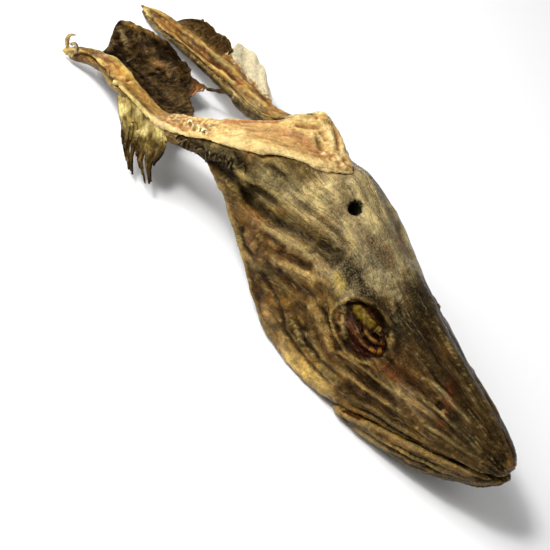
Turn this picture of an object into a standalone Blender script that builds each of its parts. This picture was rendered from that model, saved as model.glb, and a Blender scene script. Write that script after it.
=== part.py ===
"""A dried cod head, cut off behind its collar.

The head is a ridged wedge that rests on the corners of its cheeks. Behind the gill opening the cut body
wall forms a hoop: it leaves the nape, runs down both sides to the rear, and its two ends are joined near the
ground by the dried skin of the throat. X runs towards the snout, Y to the fish's left and Z up.
"""

import bmesh
import bpy
from mathutils import Matrix, Vector

HEAD_LENGTH = 0.176  # snout tip to nape, in metres; every other length is a share of it
MM = HEAD_LENGTH / 176  # one millimetre at this size
GAP = 0.3  # left between pieces that touch

SKIN = ("dried_skin", (0.16, 0.115, 0.055), 0.45)
DARK_SKIN = ("dark_skin", (0.08, 0.055, 0.03), 0.55)
FLESH = ("cut_flesh", (0.68, 0.42, 0.16), 0.5)
EYE = ("dried_eye", (0.22, 0.12, 0.035), 0.35)
FIN = ("fin", (0.3, 0.21, 0.07), 0.5)
MEMBRANE = ("membrane", (0.62, 0.56, 0.4), 0.45)

# The head's right half, from the snout back: x, then (half-width, height) of the ridge line, the edge of the
# skull roof, the brow and groove, the cheek, the lower edge, the underside and the middle of the underside.
HEAD_STATIONS = (
    (176.0, (0, 48.0), (3, 47.5), (5.5, 46), (6.5, 43.5), (5.5, 41.5), (2.5, 41), (0, 41)),
    (170.0, (0, 51.5), (5, 50.5), (8.5, 47.5), (12, 43.5), (10.5, 39.5), (5, 38.5), (0, 38.5)),
    (158.0, (0, 54.5), (6.5, 53.2), (12.5, 49), (18.5, 41), (17.5, 34), (9, 33.5), (0, 33.5)),
    (140.0, (0, 57.5), (7, 56.3), (14, 50.5), (24, 40), (25.5, 28), (13, 27.5), (0, 27.5)),
    (118.0, (0, 60.5), (7.5, 59.3), (15, 52.6), (28, 39.5), (32.5, 18.5), (16, 19), (0, 19.5)),
    (98.0, (0, 63.5), (8.5, 62), (17.5, 54.5), (30.5, 42), (38, 9.5), (19, 11), (0, 12)),
    (75.0, (0, 67.5), (9.5, 65.8), (19, 58), (33, 43), (43, 2.5), (22, 6), (0, 8)),
    (55.0, (0, 71.5), (12, 69.5), (22.5, 61), (37, 44), (46.5, 1.5), (26, 4), (0, 7)),
    (36.0, (0, 76.0), (16, 73), (27, 62), (40, 43), (47, 2), (28, 6), (0, 9)),
    (14.0, (0, 80.5), (18, 76), (33, 55), (42, 42), (46, 10), (30, 12), (0, 14)),
    (0.0, (0, 83.5), (17.5, 77), (34, 51), (42.5, 40), (44, 16), (32, 18), (0, 20)),
    (-12.0, (0, 74.0), (20, 71), (34.5, 46), (42, 37), (43, 21), (32, 23), (0, 25)),
    (-34.0, (0, 62.0), (20, 60), (34, 43), (40, 38), (41, 31), (32, 31), (0, 32)),
)

# The lower jaw, from the chin back: x, half-width, height of the mouth line, height of the lower edge.
JAW_STATIONS = (
    (178.5, 3.5, 39.5, 36.5),
    (172.0, 10.0, 38.2, 28.0),
    (157.0, 18.5, 32.6, 17.0),
    (140.0, 26.0, 26.6, 8.5),
    (118.0, 33.5, 17.8, 3.0),
    (102.0, 37.5, 10.5, 0.3),
    (92.0, 38.0, 6.2, 0.0),
)

# The cut body wall, from the tip on the right round over the nape to the tip on the left: the corners of its
# section, which are the outer and inner edge of the cut face and the inner and outer edge at the bottom.
WALL_STATIONS = (
    ((-171, -49, 4.5), (-171, -47, 4.5), (-166, -48, 0.5), (-165, -51.5, 0.5)),
    ((-163, -47, 13), (-165, -43, 11), (-159, -42, 4), (-156.5, -47, 7)),
    ((-152, -47.5, 19.5), (-155, -38, 18), (-151, -39, 8), (-149, -46.5, 13)),
    ((-144, -48.5, 22.5), (-147, -38, 22.5), (-143, -40, 12), (-141, -48, 17)),
    ((-136, -50, 22.5), (-141, -38, 25.5), (-139, -41, 13), (-134, -51, 17)),
    ((-124, -51, 26.4), (-128, -38, 26.5), (-126, -42, 15), (-122, -52, 20)),
    ((-111, -51, 29.6), (-115, -38, 27.5), (-113, -42, 16), (-109, -52.5, 21)),
    ((-91, -51, 33.5), (-99, -38, 31.6), (-96, -42, 20), (-89, -52.5, 25)),
    ((-75.5, -50.5, 42), (-87, -37, 40.7), (-82, -41, 29), (-73, -52, 34)),
    ((-63.5, -48.5, 52), (-75, -33, 51), (-69, -37, 39), (-58, -51, 40)),
    ((-47.5, -43.5, 63.8), (-66, -27, 60), (-60, -31, 45), (-45, -46, 43)),
    ((-36, -38, 70.6), (-56.5, -20, 68.7), (-51, -25, 50), (-32, -41, 46)),
    ((-29, -31, 76), (-51, -11, 73), (-45, -16, 55), (-22, -36, 50)),
    ((-20.5, -23, 79), (-46, -5, 77.5), (-41, -9, 58), (-12, -28, 56)),
    ((-9.5, -15, 80), (-43, 0, 81.5), (-39, -3, 61), (-5, -18, 60)),
    ((0, 0, 84), (-41, 4, 84), (-38, 2, 62), (0, 0, 60)),
    ((-17, 8, 80.5), (-42, 8, 85), (-38, 7, 62), (-10, 20, 57)),
    ((-31, 14, 80.5), (-45, 11, 81), (-41, 12, 60), (-24, 31, 49)),
    ((-44, 22, 71), (-51, 15, 72), (-47, 17, 55), (-38, 37, 44)),
    ((-54, 28, 58.5), (-58, 18, 60), (-55, 21, 47), (-48, 38, 41)),
    ((-63, 32, 47), (-66, 22, 48), (-64, 25, 37), (-58, 38.5, 36)),
    ((-77, 35, 39.3), (-77, 24, 36), (-78, 26, 26), (-75, 38.5, 28)),
    ((-93, 37, 33), (-92.5, 26, 29.5), (-92, 26, 21.5), (-93, 39, 17)),
    ((-114, 39, 28), (-112, 27, 23.5), (-112, 27, 16.5), (-113, 41, 12)),
    ((-136, 39.5, 21.8), (-134, 27, 18.4), (-133, 27, 12), (-136, 41, 7.5)),
    ((-157, 37, 17), (-152, 26, 15), (-152, 27, 8), (-157, 38.5, 4)),
    ((-176, 34, 13), (-171, 25, 9.5), (-171, 26, 4), (-176, 35, 1)),
    ((-194, 31, 4), (-193, 28.5, 4), (-192, 28.5, 0.5), (-194, 31, 0.5)),
)
RIGHT_ROOT, LEFT_ROOT = 9, 20  # the stations where the two arms of the hoop leave the shoulders
# Shares of the wall's height below the cut face, each with a number of gaps added: of the middle of the
# section at the top, of its sides from the top down, and of its middle at the bottom. The bare flesh is
# thick in the middle and runs out thin at the sides, where the skin and lining come up to the cut face. The
# last number of a side is the share of the width drawn in there.
FLESH_SECTION = ((-0.04, 0), ((0, 0, 0.08), (0.07, 0, 0)), (0.4, 0))
SKIN_SECTION = ((0.4, 1), ((0.07, 1, 0), (0.5, 0, 0), (0.88, 0, 0.02), (1, 0, 0.15)), (1.02, 0))
ROOM_SECTION = ((-0.6, 0), ((-0.6, 0, -0.1), (0, 0, -0.1), (0.07, 0.8, -0.02)), (0.4, 0.8))

# The throat skin: rows of points from the right arm across to the left one, front row first.
THROAT_ROWS = (
    ((-93, -37.5, 20), (-95, -22, 15.5), (-101, -3, 13), (-113, 6, 11.5), (-125, 15, 10), (-137, 26.5, 8.5)),
    ((-108, -37.5, 17), (-112, -22, 11), (-120, -5, 8.5), (-129, 6, 8), (-137, 14, 9), (-146, 26, 7.5)),
    ((-125, -37.5, 15), (-130, -22, 8), (-138, -5, 6), (-145, 6, 6), (-148, 13, 9), (-151, 26, 6.8)),
    ((-143, -36.5, 13), (-150, -22, 6.5), (-158, -6, 5), (-163, 4, 5.5), (-159.5, 12, 10), (-157, 25.5, 5.5)),
    ((-158, -36, 9), (-165, -20, 7), (-177, -6, 7), (-181, 2, 7), (-171, 9, 11.5), (-162, 25.5, 5)),
)
THROAT_THICKNESS = 2.2

# The right pectoral fin: rows of points from its root on the wall down to the tips, rear edge first.
RIGHT_FIN_ROWS = (
    ((-121, -54, 21), (-108, -55, 22), (-95, -55, 24), (-81, -54.5, 26)),
    ((-113, -57, 19), (-103, -58.5, 19), (-91, -57.5, 19.5), (-77, -53.5, 20)),
    ((-104, -60, 17), (-96, -60.5, 14.5), (-85, -58, 14), (-74, -52, 15)),
    ((-94, -63, 12.5), (-88, -61.5, 9.5), (-79, -57, 8.5), (-71.5, -51, 10)),
    ((-81, -63.5, 4.5), (-78, -60, 3.5), (-73, -56, 3.5), (-68.5, -52, 4.5)),
)
# The left pectoral fin, a stiff flap, and the pale membrane beside it, both lying outwards.
LEFT_FIN_ROWS = (
    ((-172, 39, 12), (-158, 41.5, 14.5), (-145, 42.5, 17), (-133, 43, 19)),
    ((-170, 43, 15), (-160, 47, 17.5), (-147, 48, 20), (-136, 47, 23)),
    ((-166, 48, 17), (-159, 52.5, 19.3), (-147, 53.5, 21), (-140, 51.5, 24)),
)
MEMBRANE_ROWS = (
    ((-129, 43, 21), (-118, 43, 24), (-106, 42, 27), (-92, 41, 30)),
    ((-132, 51, 23.5), (-122, 53, 25.5), (-110, 50, 26.5), (-95, 44.5, 30)),
    ((-136, 58.5, 24), (-127, 63, 26), (-114, 57, 26), (-97, 48, 29.5)),
)
FIN_THICKNESS = 2.0

SOCKET_CENTRE = (73, 29, 49)  # of the left one; the right one is opposite
SOCKET_RADII = (16, 9, 11)
EYEBALL_SINK = (0, -3, -2)  # from the socket's centre to the shrunken eyeball's
EYEBALL_RADII = (10, 4.3, 6)

HOLE_CENTRE = (17, -11, 76)
HOLE_RADIUS = 4.0
HOLE_DEPTH = 16.0

# The gill chamber, from its blind front end to the open rear: x, then a half section as in HEAD_STATIONS.
CHAMBER_STATIONS = (
    (60.0, (0, 36), (8, 35), (13, 31), (14, 26), (12, 21), (6, 19), (0, 19)),
    (44.0, (0, 46), (16, 45), (25, 40), (31, 30), (30, 17), (16, 14), (0, 14)),
    (22.0, (0, 52), (18, 51), (28, 46), (35, 34), (37, 8), (20, -2), (0, -2)),
    (0.0, (0, 55), (18, 54), (27, 46), (35, 36), (37, 10), (22, -8), (0, -8)),
    (-20.0, (0, 56), (16, 54), (26, 44), (34, 36), (37, 12), (22, -8), (0, -8)),
    (-70.0, (0, 56), (14, 54), (24, 42), (33, 34), (37, 12), (22, -8), (0, -8)),
)


def point_between(before, start, end, after, share):
    """A point on the smooth curve that passes through start and end, share of the way between them."""
    a, b, c, d = (Vector(p) for p in (before, start, end, after))
    return 0.5 * (
        2 * b + (c - a) * share + (2 * a - 5 * b + 4 * c - d) * share**2 + (3 * b - a - 3 * c + d) * share**3
    )


def smooth_line(points, steps, closed=False):
    """Points along a curve through the given ones, with that many steps from each one to the next."""
    count = len(points)
    line = []
    for i in range(count if closed else count - 1):
        if closed:
            around = [points[(i + k) % count] for k in (-1, 0, 1, 2)]
        else:
            around = [points[min(max(i + k, 0), count - 1)] for k in (-1, 0, 1, 2)]
        line += [point_between(*around, step / steps) for step in range(steps)]
    if not closed:
        line.append(Vector(points[-1]))
    return line


def paint(obj, finish):
    """Gives an object its material, made once for each finish."""
    name, colour, roughness = finish
    material = bpy.data.materials.get(name)
    if material is None:
        material = bpy.data.materials.new(name)
        material.use_nodes = True
        shader = material.node_tree.nodes["Principled BSDF"]
        shader.inputs["Base Color"].default_value = (*colour, 1)
        shader.inputs["Roughness"].default_value = roughness
    obj.data.materials.clear()
    obj.data.materials.append(material)


def add_object(name, mesh, collection, finish=SKIN):
    obj = bpy.data.objects.new(name, mesh)
    collection.objects.link(obj)
    paint(obj, finish)
    return obj


def skin_over(name, rings, collection, finish=SKIN):
    """One closed mesh over rings that all have the same number of points, with both ends capped."""
    shape = bmesh.new()
    rows = [[shape.verts.new(point * MM) for point in ring] for ring in rings]
    for row, following in zip(rows, rows[1:]):
        for i in range(len(row)):
            j = (i + 1) % len(row)
            shape.faces.new((row[i], row[j], following[j], following[i]))
    shape.faces.new(reversed(rows[0]))
    shape.faces.new(rows[-1])
    bmesh.ops.recalc_face_normals(shape, faces=shape.faces)
    bmesh.ops.triangulate(shape, faces=shape.faces, quad_method="SHORT_EDGE")
    mesh = bpy.data.meshes.new(name)
    shape.to_mesh(mesh)
    shape.free()
    return add_object(name, mesh, collection, finish)


def loft(name, sections, steps_along, steps_around, collection, finish=SKIN):
    """A solid through sections of few points each, smoothed round each section and from one to the next."""
    lines = [smooth_line(line, steps_along) for line in zip(*sections)]
    rings = [smooth_line(ring, steps_around, closed=True) for ring in zip(*lines)]
    return skin_over(name, rings, collection, finish)


def mirrored_section(station):
    """The whole section of a shape that is the same on both sides, from its right half."""
    x, *half = station
    right = [Vector((x, -y, z)) for y, z in half]
    left = [Vector((x, y, z)) for y, z in reversed(half[1:-1])]
    return right + left


def boolean(obj, other, operation):
    """Joins or cuts obj with other, at once, and removes other."""
    modifier = obj.modifiers.new(operation.title(), "BOOLEAN")
    modifier.object = other
    modifier.operation = operation
    modifier.solver = "EXACT"
    keep_result(obj)
    bpy.data.objects.remove(other)


def keep_result(obj):
    """Replaces an object's mesh with the result of its modifiers."""
    graph = bpy.context.evaluated_depsgraph_get()
    mesh = bpy.data.meshes.new_from_object(obj.evaluated_get(graph))
    obj.modifiers.clear()
    obj.data = mesh


def ellipsoid(name, centre, radii, collection, finish=SKIN, segments=20, rings=12):
    shape = bmesh.new()
    bmesh.ops.create_uvsphere(shape, u_segments=segments, v_segments=rings, radius=1)
    for vert in shape.verts:
        vert.co = Vector(centre) * MM + Vector(c * r for c, r in zip(vert.co, radii)) * MM
    mesh = bpy.data.meshes.new(name)
    shape.to_mesh(mesh)
    shape.free()
    return add_object(name, mesh, collection, finish)


def wall_section(station, section):
    """A part of the wall's section: its outline from the middle of the top over the outer side and back."""
    outer, inner, inner_foot, outer_foot = (Vector(p) for p in station)
    height = (outer + inner - outer_foot - inner_foot).length / 2
    top, sides, bottom = section
    share_of_gap = GAP / height

    def across(share, gaps, place):
        share += gaps * share_of_gap
        return outer.lerp(outer_foot, share).lerp(inner.lerp(inner_foot, share), place)

    outer_side = [across(share, gaps, drawn_in) for share, gaps, drawn_in in sides]
    inner_side = [across(share, gaps, 1 - drawn_in) for share, gaps, drawn_in in sides]
    return [across(*top, 0.5)] + outer_side + [across(*bottom, 0.5)] + inner_side[::-1]


def wall_piece(name, stations, section, collection, finish, trim=GAP):
    """A stretch of the cut wall between two of its stations, drawn in a little at the ends by trim."""
    first, last = stations
    sections = [wall_section(station, section) for station in WALL_STATIONS[first : last + 1]]
    if first > 0:
        sections[0] = moved_towards(sections[0], sections[1], trim)
    if last < len(WALL_STATIONS) - 1:
        sections[-1] = moved_towards(sections[-1], sections[-2], trim)
    return loft(name, sections, 3, 1, collection, finish)


def moved_towards(section, other, distance):
    """A section moved as a whole towards its neighbour, or away from it if distance is negative."""
    middle = sum(section, Vector()) / len(section)
    step = (sum(other, Vector()) / len(other) - middle).normalized() * distance
    return [point + step for point in section]


def sheet(name, rows, thickness, collection, finish, steps=3):
    """A thin curved sheet through a grid of points, thickened to both sides, with thinner edges."""
    lines = [smooth_line(row, steps) for row in rows]
    columns = [smooth_line(column, steps) for column in zip(*lines)]
    shape = bmesh.new()
    grid = [[shape.verts.new(point * MM) for point in column] for column in columns]
    for column, following in zip(grid, grid[1:]):
        for i in range(len(column) - 1):
            shape.faces.new((column[i], column[i + 1], following[i + 1], following[i]))
    bmesh.ops.recalc_face_normals(shape, faces=shape.faces)
    mesh = bpy.data.meshes.new(name)
    shape.to_mesh(mesh)
    shape.free()
    obj = add_object(name, mesh, collection, finish)
    wall = obj.modifiers.new("Thickness", "SOLIDIFY")
    wall.thickness = thickness * MM
    wall.offset = 0
    keep_result(obj)
    return obj


def make_wall(collection):
    """The cut body wall: bare flesh on top, skin and lining below. It returns the shoulders' blank."""
    last = len(WALL_STATIONS) - 1
    for side, stations in (
        ("right", (0, RIGHT_ROOT)),
        ("nape", (RIGHT_ROOT, LEFT_ROOT)),
        ("left", (LEFT_ROOT, last)),
    ):
        wall_piece("flesh_" + side, stations, FLESH_SECTION, collection, FLESH)
    wall_piece("collar_right", (0, RIGHT_ROOT), SKIN_SECTION, collection, SKIN)
    wall_piece("collar_left", (LEFT_ROOT, last), SKIN_SECTION, collection, SKIN)
    return wall_piece("shoulders", (RIGHT_ROOT, LEFT_ROOT), SKIN_SECTION, collection, SKIN)


def make_head(collection, shoulders):
    """The skull and cheeks, with the shoulders, open behind as the gill chamber."""
    head = loft("head", [mirrored_section(s) for s in HEAD_STATIONS], 2, 3, collection)
    for side in (-1, 1):
        socket = ellipsoid("socket", on_side(SOCKET_CENTRE, side), SOCKET_RADII, collection)
        boolean(head, socket, "DIFFERENCE")
    boolean(head, hole_cutter(collection), "DIFFERENCE")
    boolean(head, shoulders, "UNION")
    chamber = loft("chamber", [mirrored_section(s) for s in CHAMBER_STATIONS], 2, 2, collection)
    boolean(head, chamber, "DIFFERENCE")
    room = wall_piece("room", (RIGHT_ROOT, LEFT_ROOT), ROOM_SECTION, collection, FLESH, trim=-6)
    boolean(head, room, "DIFFERENCE")
    boolean(head, jaw_blank("jaw_room", collection, spare=GAP), "DIFFERENCE")
    return head


def hole_cutter(collection):
    """The round hole in the skull roof, where the head was strung up."""
    shape = bmesh.new()
    radius = HOLE_RADIUS * MM
    bmesh.ops.create_cone(
        shape, cap_ends=True, segments=16, radius1=radius, radius2=radius, depth=HOLE_DEPTH * MM
    )
    bmesh.ops.translate(shape, verts=shape.verts, vec=Vector(HOLE_CENTRE) * MM)
    mesh = bpy.data.meshes.new("hole")
    shape.to_mesh(mesh)
    shape.free()
    return add_object("hole", mesh, collection)


def on_side(point, side):
    """A point of the left side, or its opposite for side -1."""
    x, y, z = point
    return (x, side * y, z)


def make_eyes(collection):
    centre = Vector(SOCKET_CENTRE) + Vector(EYEBALL_SINK)
    for side, name in ((-1, "eye_right"), (1, "eye_left")):
        ellipsoid(name, on_side(centre, side), EYEBALL_RADII, collection, EYE, segments=16, rings=10)


def jaw_blank(name, collection, spare=0):
    """The lower jaw: an arm each side that meet at the chin, with the floor of the mouth between them."""
    sections = []
    for x, half_width, mouth, lower in JAW_STATIONS:
        tall = mouth - lower
        top = mouth - GAP + spare
        half = (
            (0, top),
            (half_width * 0.6 + spare, top),
            (half_width + 4 * spare, top),
            (half_width + 0.06 * tall + 4 * spare, mouth - 0.5 * tall),
            (half_width * 0.9 + 4 * spare, lower - spare),
            (half_width * 0.55, lower + 0.15 * tall - spare),
            (0, lower + 0.3 * tall - spare),
        )
        sections.append(mirrored_section((x, *half)))
    sections[-1] = moved_towards(sections[-1], sections[-2], -spare)
    return loft(name, sections, 2, 2, collection)


def make_sheets(collection):
    """The thin pieces: the throat skin, both pectoral fins and the loose membrane."""
    sheet("throat_skin", THROAT_ROWS, THROAT_THICKNESS, collection, DARK_SKIN)
    sheet("fin_right", RIGHT_FIN_ROWS, FIN_THICKNESS, collection, FIN)
    sheet("fin_left", LEFT_FIN_ROWS, FIN_THICKNESS, collection, FIN)
    sheet("membrane_left", MEMBRANE_ROWS, FIN_THICKNESS, collection, MEMBRANE)


def settle(objects):
    """Presses what lies below the ground flat, and centres the whole over the origin."""
    for obj in objects:
        for vert in obj.data.vertices:
            vert.co.z = max(vert.co.z, 0)
    corners = [vert.co for obj in objects for vert in obj.data.vertices]
    middle = [(min(c[i] for c in corners) + max(c[i] for c in corners)) / 2 for i in (0, 1)]
    for obj in objects:
        obj.data.transform(Matrix.Translation((-middle[0], -middle[1], 0)))
        obj.data.shade_smooth()


def main():
    for obj in list(bpy.data.objects):
        bpy.data.objects.remove(obj)
    collection = bpy.data.collections.new("dried_cod_head")
    bpy.context.scene.collection.children.link(collection)
    shoulders = make_wall(collection)
    make_head(collection, shoulders)
    make_eyes(collection)
    jaw_blank("lower_jaw", collection)
    make_sheets(collection)
    settle(list(collection.objects))


main()
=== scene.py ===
import math
import random

import bpy
import numpy as np
from mathutils import Matrix, Vector, noise
from mathutils.bvhtree import BVHTree


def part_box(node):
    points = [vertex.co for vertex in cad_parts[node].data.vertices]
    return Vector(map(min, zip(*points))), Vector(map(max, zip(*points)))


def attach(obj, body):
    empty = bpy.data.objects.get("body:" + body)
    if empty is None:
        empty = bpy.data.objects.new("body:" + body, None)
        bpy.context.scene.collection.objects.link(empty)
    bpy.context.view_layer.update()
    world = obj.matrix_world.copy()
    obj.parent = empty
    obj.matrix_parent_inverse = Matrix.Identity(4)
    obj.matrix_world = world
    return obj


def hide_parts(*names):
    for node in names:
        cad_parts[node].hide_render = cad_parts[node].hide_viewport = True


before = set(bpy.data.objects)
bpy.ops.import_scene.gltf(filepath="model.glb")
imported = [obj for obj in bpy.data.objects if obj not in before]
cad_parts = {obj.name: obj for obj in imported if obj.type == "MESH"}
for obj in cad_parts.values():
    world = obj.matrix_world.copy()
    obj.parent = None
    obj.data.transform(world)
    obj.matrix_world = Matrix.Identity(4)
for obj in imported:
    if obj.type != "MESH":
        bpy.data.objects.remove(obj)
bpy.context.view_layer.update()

# ------------------------------------------------------------------------------------------------------------
# The head and the skin of its collar. The real piece is one hide: leathery, olive brown skin that shrank over
# the skull, the cheeks and the two arms as they dried in the wind, and drew in over each hollow of the bones.
# It starts as a copy of the CAD solids run together, and the folds are pressed into it one by one.
# ------------------------------------------------------------------------------------------------------------
MM = 0.001
WEB_VOXEL = 2.3 * MM  # coarse, for the first pass, which joins the webs to the skin
SKIN_VOXEL = 1.1 * MM
SNOUT_TO_NAPE = 176  # in millimetres, as are the places in all the tables below
jaw_low, jaw_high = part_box("lower_jaw")
NAPE = Vector((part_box("head")[1].x - SNOUT_TO_NAPE * MM, (jaw_low.y + jaw_high.y) / 2, 0))
BOTH = (-1, 1)


def here(x, y, z):
    """A place in the row frame, from millimetres ahead of the nape, to its left and above the ground."""
    return NAPE + Vector((x, y, z)) * MM


def from_nape(points):
    """The points' distances ahead of the nape, to its left and above the ground, in millimetres."""
    return ((points - np.array(NAPE)) / MM).T


def only(*pieces):
    """Selects these pieces and nothing else."""
    bpy.ops.object.select_all(action="DESELECT")
    for piece in pieces:
        piece.select_set(True)
    bpy.context.view_layer.objects.active = pieces[0]


def finish_modifiers(piece):
    """Applies a piece's modifiers in their order."""
    only(piece)
    for modifier in list(piece.modifiers):
        bpy.ops.object.modifier_apply(modifier=modifier.name)


def put_in_place(piece):
    """Moves a piece's place, turn and size into its mesh."""
    only(piece)
    bpy.ops.object.transform_apply(location=True, rotation=True, scale=True)


def in_edit_mode(piece, operator, **settings):
    """Runs a mesh operator on the whole of a piece."""
    only(piece)
    bpy.ops.object.mode_set(mode="EDIT")
    bpy.ops.mesh.select_all(action="SELECT")
    operator(**settings)
    bpy.ops.object.mode_set(mode="OBJECT")


def join(*parts):
    """Makes several parts one piece, in the first one's place."""
    only(*parts)
    if len(parts) > 1:
        bpy.ops.object.join()


def blank_from(name, nodes, grow=0.35):
    """One piece from copies of CAD solids, merged, grown by a few tenths of a millimetre and joined."""
    parts = []
    for node in nodes:
        part = bpy.data.objects.new(name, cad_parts[node].data.copy())
        bpy.context.scene.collection.objects.link(part)
        part.data.materials.clear()
        in_edit_mode(part, bpy.ops.mesh.remove_doubles, threshold=0.02 * MM)
        swell = part.modifiers.new("Swell", "DISPLACE")
        swell.strength = grow * MM
        swell.mid_level = 0
        finish_modifiers(part)
        parts.append(part)
    join(*parts)
    return parts[0]


def remesh(piece, voxel, smoothing):
    """Turns a piece into one even, closed mesh, and rubs its edges down."""
    grid = piece.modifiers.new("Grid", "REMESH")
    grid.mode = "VOXEL"
    grid.voxel_size = voxel
    grid.use_smooth_shade = True
    rub = piece.modifiers.new("Rub", "SMOOTH")
    rub.factor = 0.5
    rub.iterations = smoothing
    finish_modifiers(piece)


def points_of(piece):
    """The places of a piece's vertices, in metres."""
    flat = np.empty(len(piece.data.vertices) * 3)
    piece.data.vertices.foreach_get("co", flat)
    return flat.reshape(-1, 3)


def normals_of(piece):
    """The directions that a piece's vertices face."""
    flat = np.empty(len(piece.data.vertices) * 3, np.float32)
    piece.data.vertex_normals.foreach_get("vector", flat)
    return flat.reshape(-1, 3).astype(float)


def move_points(piece, places):
    """Moves a piece's vertices to these places, none of them below the ground."""
    places[:, 2] = np.maximum(places[:, 2], 0.0)
    piece.data.vertices.foreach_set("co", places.ravel())
    piece.data.update()


def sink_in(piece, places, outward, depth):
    """Moves each place in by its depth in millimetres, and the piece's vertices with them."""
    places -= outward * (depth * MM)[:, None]
    move_points(piece, places)


def along(points, line):
    """For each point, its distance from a line of places, and how far along the line the nearest part is."""
    best = np.linalg.norm(points - line[0], axis=1)
    share = np.zeros(len(points))
    steps = np.linalg.norm(np.diff(line, axis=0), axis=1)
    done = 0.0
    for start, end, length in zip(line, line[1:], steps):
        span = end - start
        t = np.clip((points - start) @ span / max(length**2, 1e-12), 0, 1)
        distance = np.linalg.norm(points - start - t[:, None] * span, axis=1)
        closer = distance < best
        best = np.where(closer, distance, best)
        share = np.where(closer, (done + t * length) / steps.sum(), share)
        done += length
    return best, share


def ramp(value, start, width):
    """0 where a value is below start, 1 where it is more than width above that, and even in between."""
    return np.clip((value - start) / width, 0, 1)


def rough(points, size, octaves, shift=0.0):
    """Smooth random values of about -1 to 1 at each point, with lumps of that size in metres."""
    scaled = points / size + shift
    return np.array([noise.fractal(Vector(p), 1.0, 2.0, octaves) for p in scaled])


def neighbour_mean(piece, values, rounds):
    """Values at the vertices, each averaged with its neighbours' a number of times."""
    edges = np.empty(len(piece.data.edges) * 2, np.int64)
    piece.data.edges.foreach_get("vertices", edges)
    a, b = edges.reshape(-1, 2).T
    size = len(values)
    count = np.bincount(a, minlength=size) + np.bincount(b, minlength=size)
    for _ in range(rounds):
        for column in values.T:
            total = np.bincount(a, column[b], size) + np.bincount(b, column[a], size)
            column[:] = 0.5 * column + 0.5 * total / count
    return values


def hollowness(piece, rounds):
    """How deep each vertex lies in a crease, in millimetres: above 0 in creases and below 0 on ridges."""
    places = points_of(piece)
    flat = neighbour_mean(piece, places.copy(), rounds)
    return ((flat - places) * normals_of(piece)).sum(axis=1) / MM


def surface_of(piece):
    """A piece's surface as it is now, to find the nearest places on."""
    return BVHTree.FromObject(piece, bpy.context.evaluated_depsgraph_get())


def laid_on(surface, line, side=-1):
    """A line of places on the right side, or mirrored to the left one, drawn onto a surface."""
    places = [here(x, -side * y, z) for x, y, z in line]
    return np.array([surface.find_nearest(place)[0] for place in places])


def brush(points, line, width):
    """The points within reach of a line, and the brush's weight at each: 1 on the line, fading out to the
    sides, and to a third over the last seventh of the line at each end."""
    reach = 2.5 * width * MM
    near = np.nonzero(((points > line.min(0) - reach) & (points < line.max(0) + reach)).all(axis=1))[0]
    distance, share = along(points[near], line)
    ends = np.clip(np.sin(np.pi * (0.06 + 0.88 * share)) * 1.8, 0, 1)
    return near, np.exp(-((distance / (width * MM)) ** 2)) * ends


UNEVEN_AHEAD = 2.2  # the most that a stroke is moved on the left side, in millimetres, forward or back
UNEVEN_UP = 1.4  # and up or down


def copies_of(strokes, sides):
    """Each stroke once for each side; the left side's are moved a little, as no head is quite even."""
    spread = random.Random(7)
    for _, sink, width, colour, cover, line in strokes:
        for side in sides:
            by = (0, 0, 0)
            if side > 0 and len(sides) > 1:
                ahead = spread.uniform(-UNEVEN_AHEAD, UNEVEN_AHEAD)
                by = (ahead, 0, spread.uniform(-UNEVEN_UP, UNEVEN_UP))
            yield sink, width, colour, cover, [np.add(place, by) for place in line], side


def press(points, surface, strokes, sides=(-1,)):
    """How deep a table of strokes presses each point in, in millimetres; a ridge's depth is below 0."""
    depth = np.zeros(len(points))
    for sink, width, _, _, line, side in copies_of(strokes, sides):
        if sink:
            near, weight = brush(points, laid_on(surface, line, side), width)
            depth[near] += sink * weight
    return depth


def shade(hexcode):
    """A colour written as in a paint box, in the shader's linear numbers."""
    values = [int(hexcode[i : i + 2], 16) / 255 for i in (0, 2, 4)]
    return np.array([v / 12.92 if v <= 0.04045 else ((v + 0.055) / 1.055) ** 2.4 for v in values])


def lay(tint, colour, mask):
    """Lays a colour over the tint where the mask is, from 0 to 1."""
    mask = np.clip(mask, 0, 1)[:, None]
    return tint * (1 - mask) + shade(colour) * mask


def paint(points, surface, strokes, tint, ragged, sides=(-1,)):
    """Lays the colours of a table of strokes over the tint, in their order, each with a ragged edge."""
    for _, width, colour, cover, line, side in copies_of(strokes, sides):
        if cover:
            near, weight = brush(points, laid_on(surface, line, side), width)
            weight = ramp(weight + 0.3 * ragged[near], 0.2, 0.55) * cover
            tint[near] = lay(tint[near], colour, weight)
    return tint


DARKENING = 1.22  # the power that takes dark colours down further than light ones


def cured(tint, red=0.78, green=0.69, blue=0.38):
    """The colours as drying left them: the dark ones sink more than the light ones, and all turn to amber."""
    return tint**DARKENING * (red, green, blue)


def store(piece, name, values):
    """Keeps a value, a direction or a colour for each vertex, for the piece's material to read."""
    values = np.asarray(values, np.float32)
    if values.ndim == 1:
        piece.data.attributes.new(name, "FLOAT", "POINT").data.foreach_set("value", values)
    elif name == "grain":
        piece.data.attributes.new(name, "FLOAT_VECTOR", "POINT").data.foreach_set("vector", values.ravel())
    else:
        colours = np.c_[np.clip(values, 0, 1), np.ones(len(values))].astype(np.float32)
        piece.data.attributes.new(name, "FLOAT_COLOR", "POINT").data.foreach_set("color", colours.ravel())


def keep_looks(piece, tint, grain=None, dust=0.0):
    """Keeps a piece's tint, how dusty it is, and coordinates along and across its grain."""
    store(piece, "tint", tint)
    store(piece, "dust", np.zeros(len(tint)) + dust)
    if grain is not None:
        store(piece, "grain", grain)


# The height of the line that the skin's grain runs along on the sides, by the distance ahead of the nape.
GRAIN_LINE = (
    (-190, 3), (-140, 17), (-90, 28), (-60, 40), (-34, 38), (-6, 42), (24, 52), (44, 52), (60, 44), (75, 38),
    (98, 38), (118, 40), (140, 43), (158, 44.5), (176, 45),
)
GRAIN_RADIUS = 42


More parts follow.
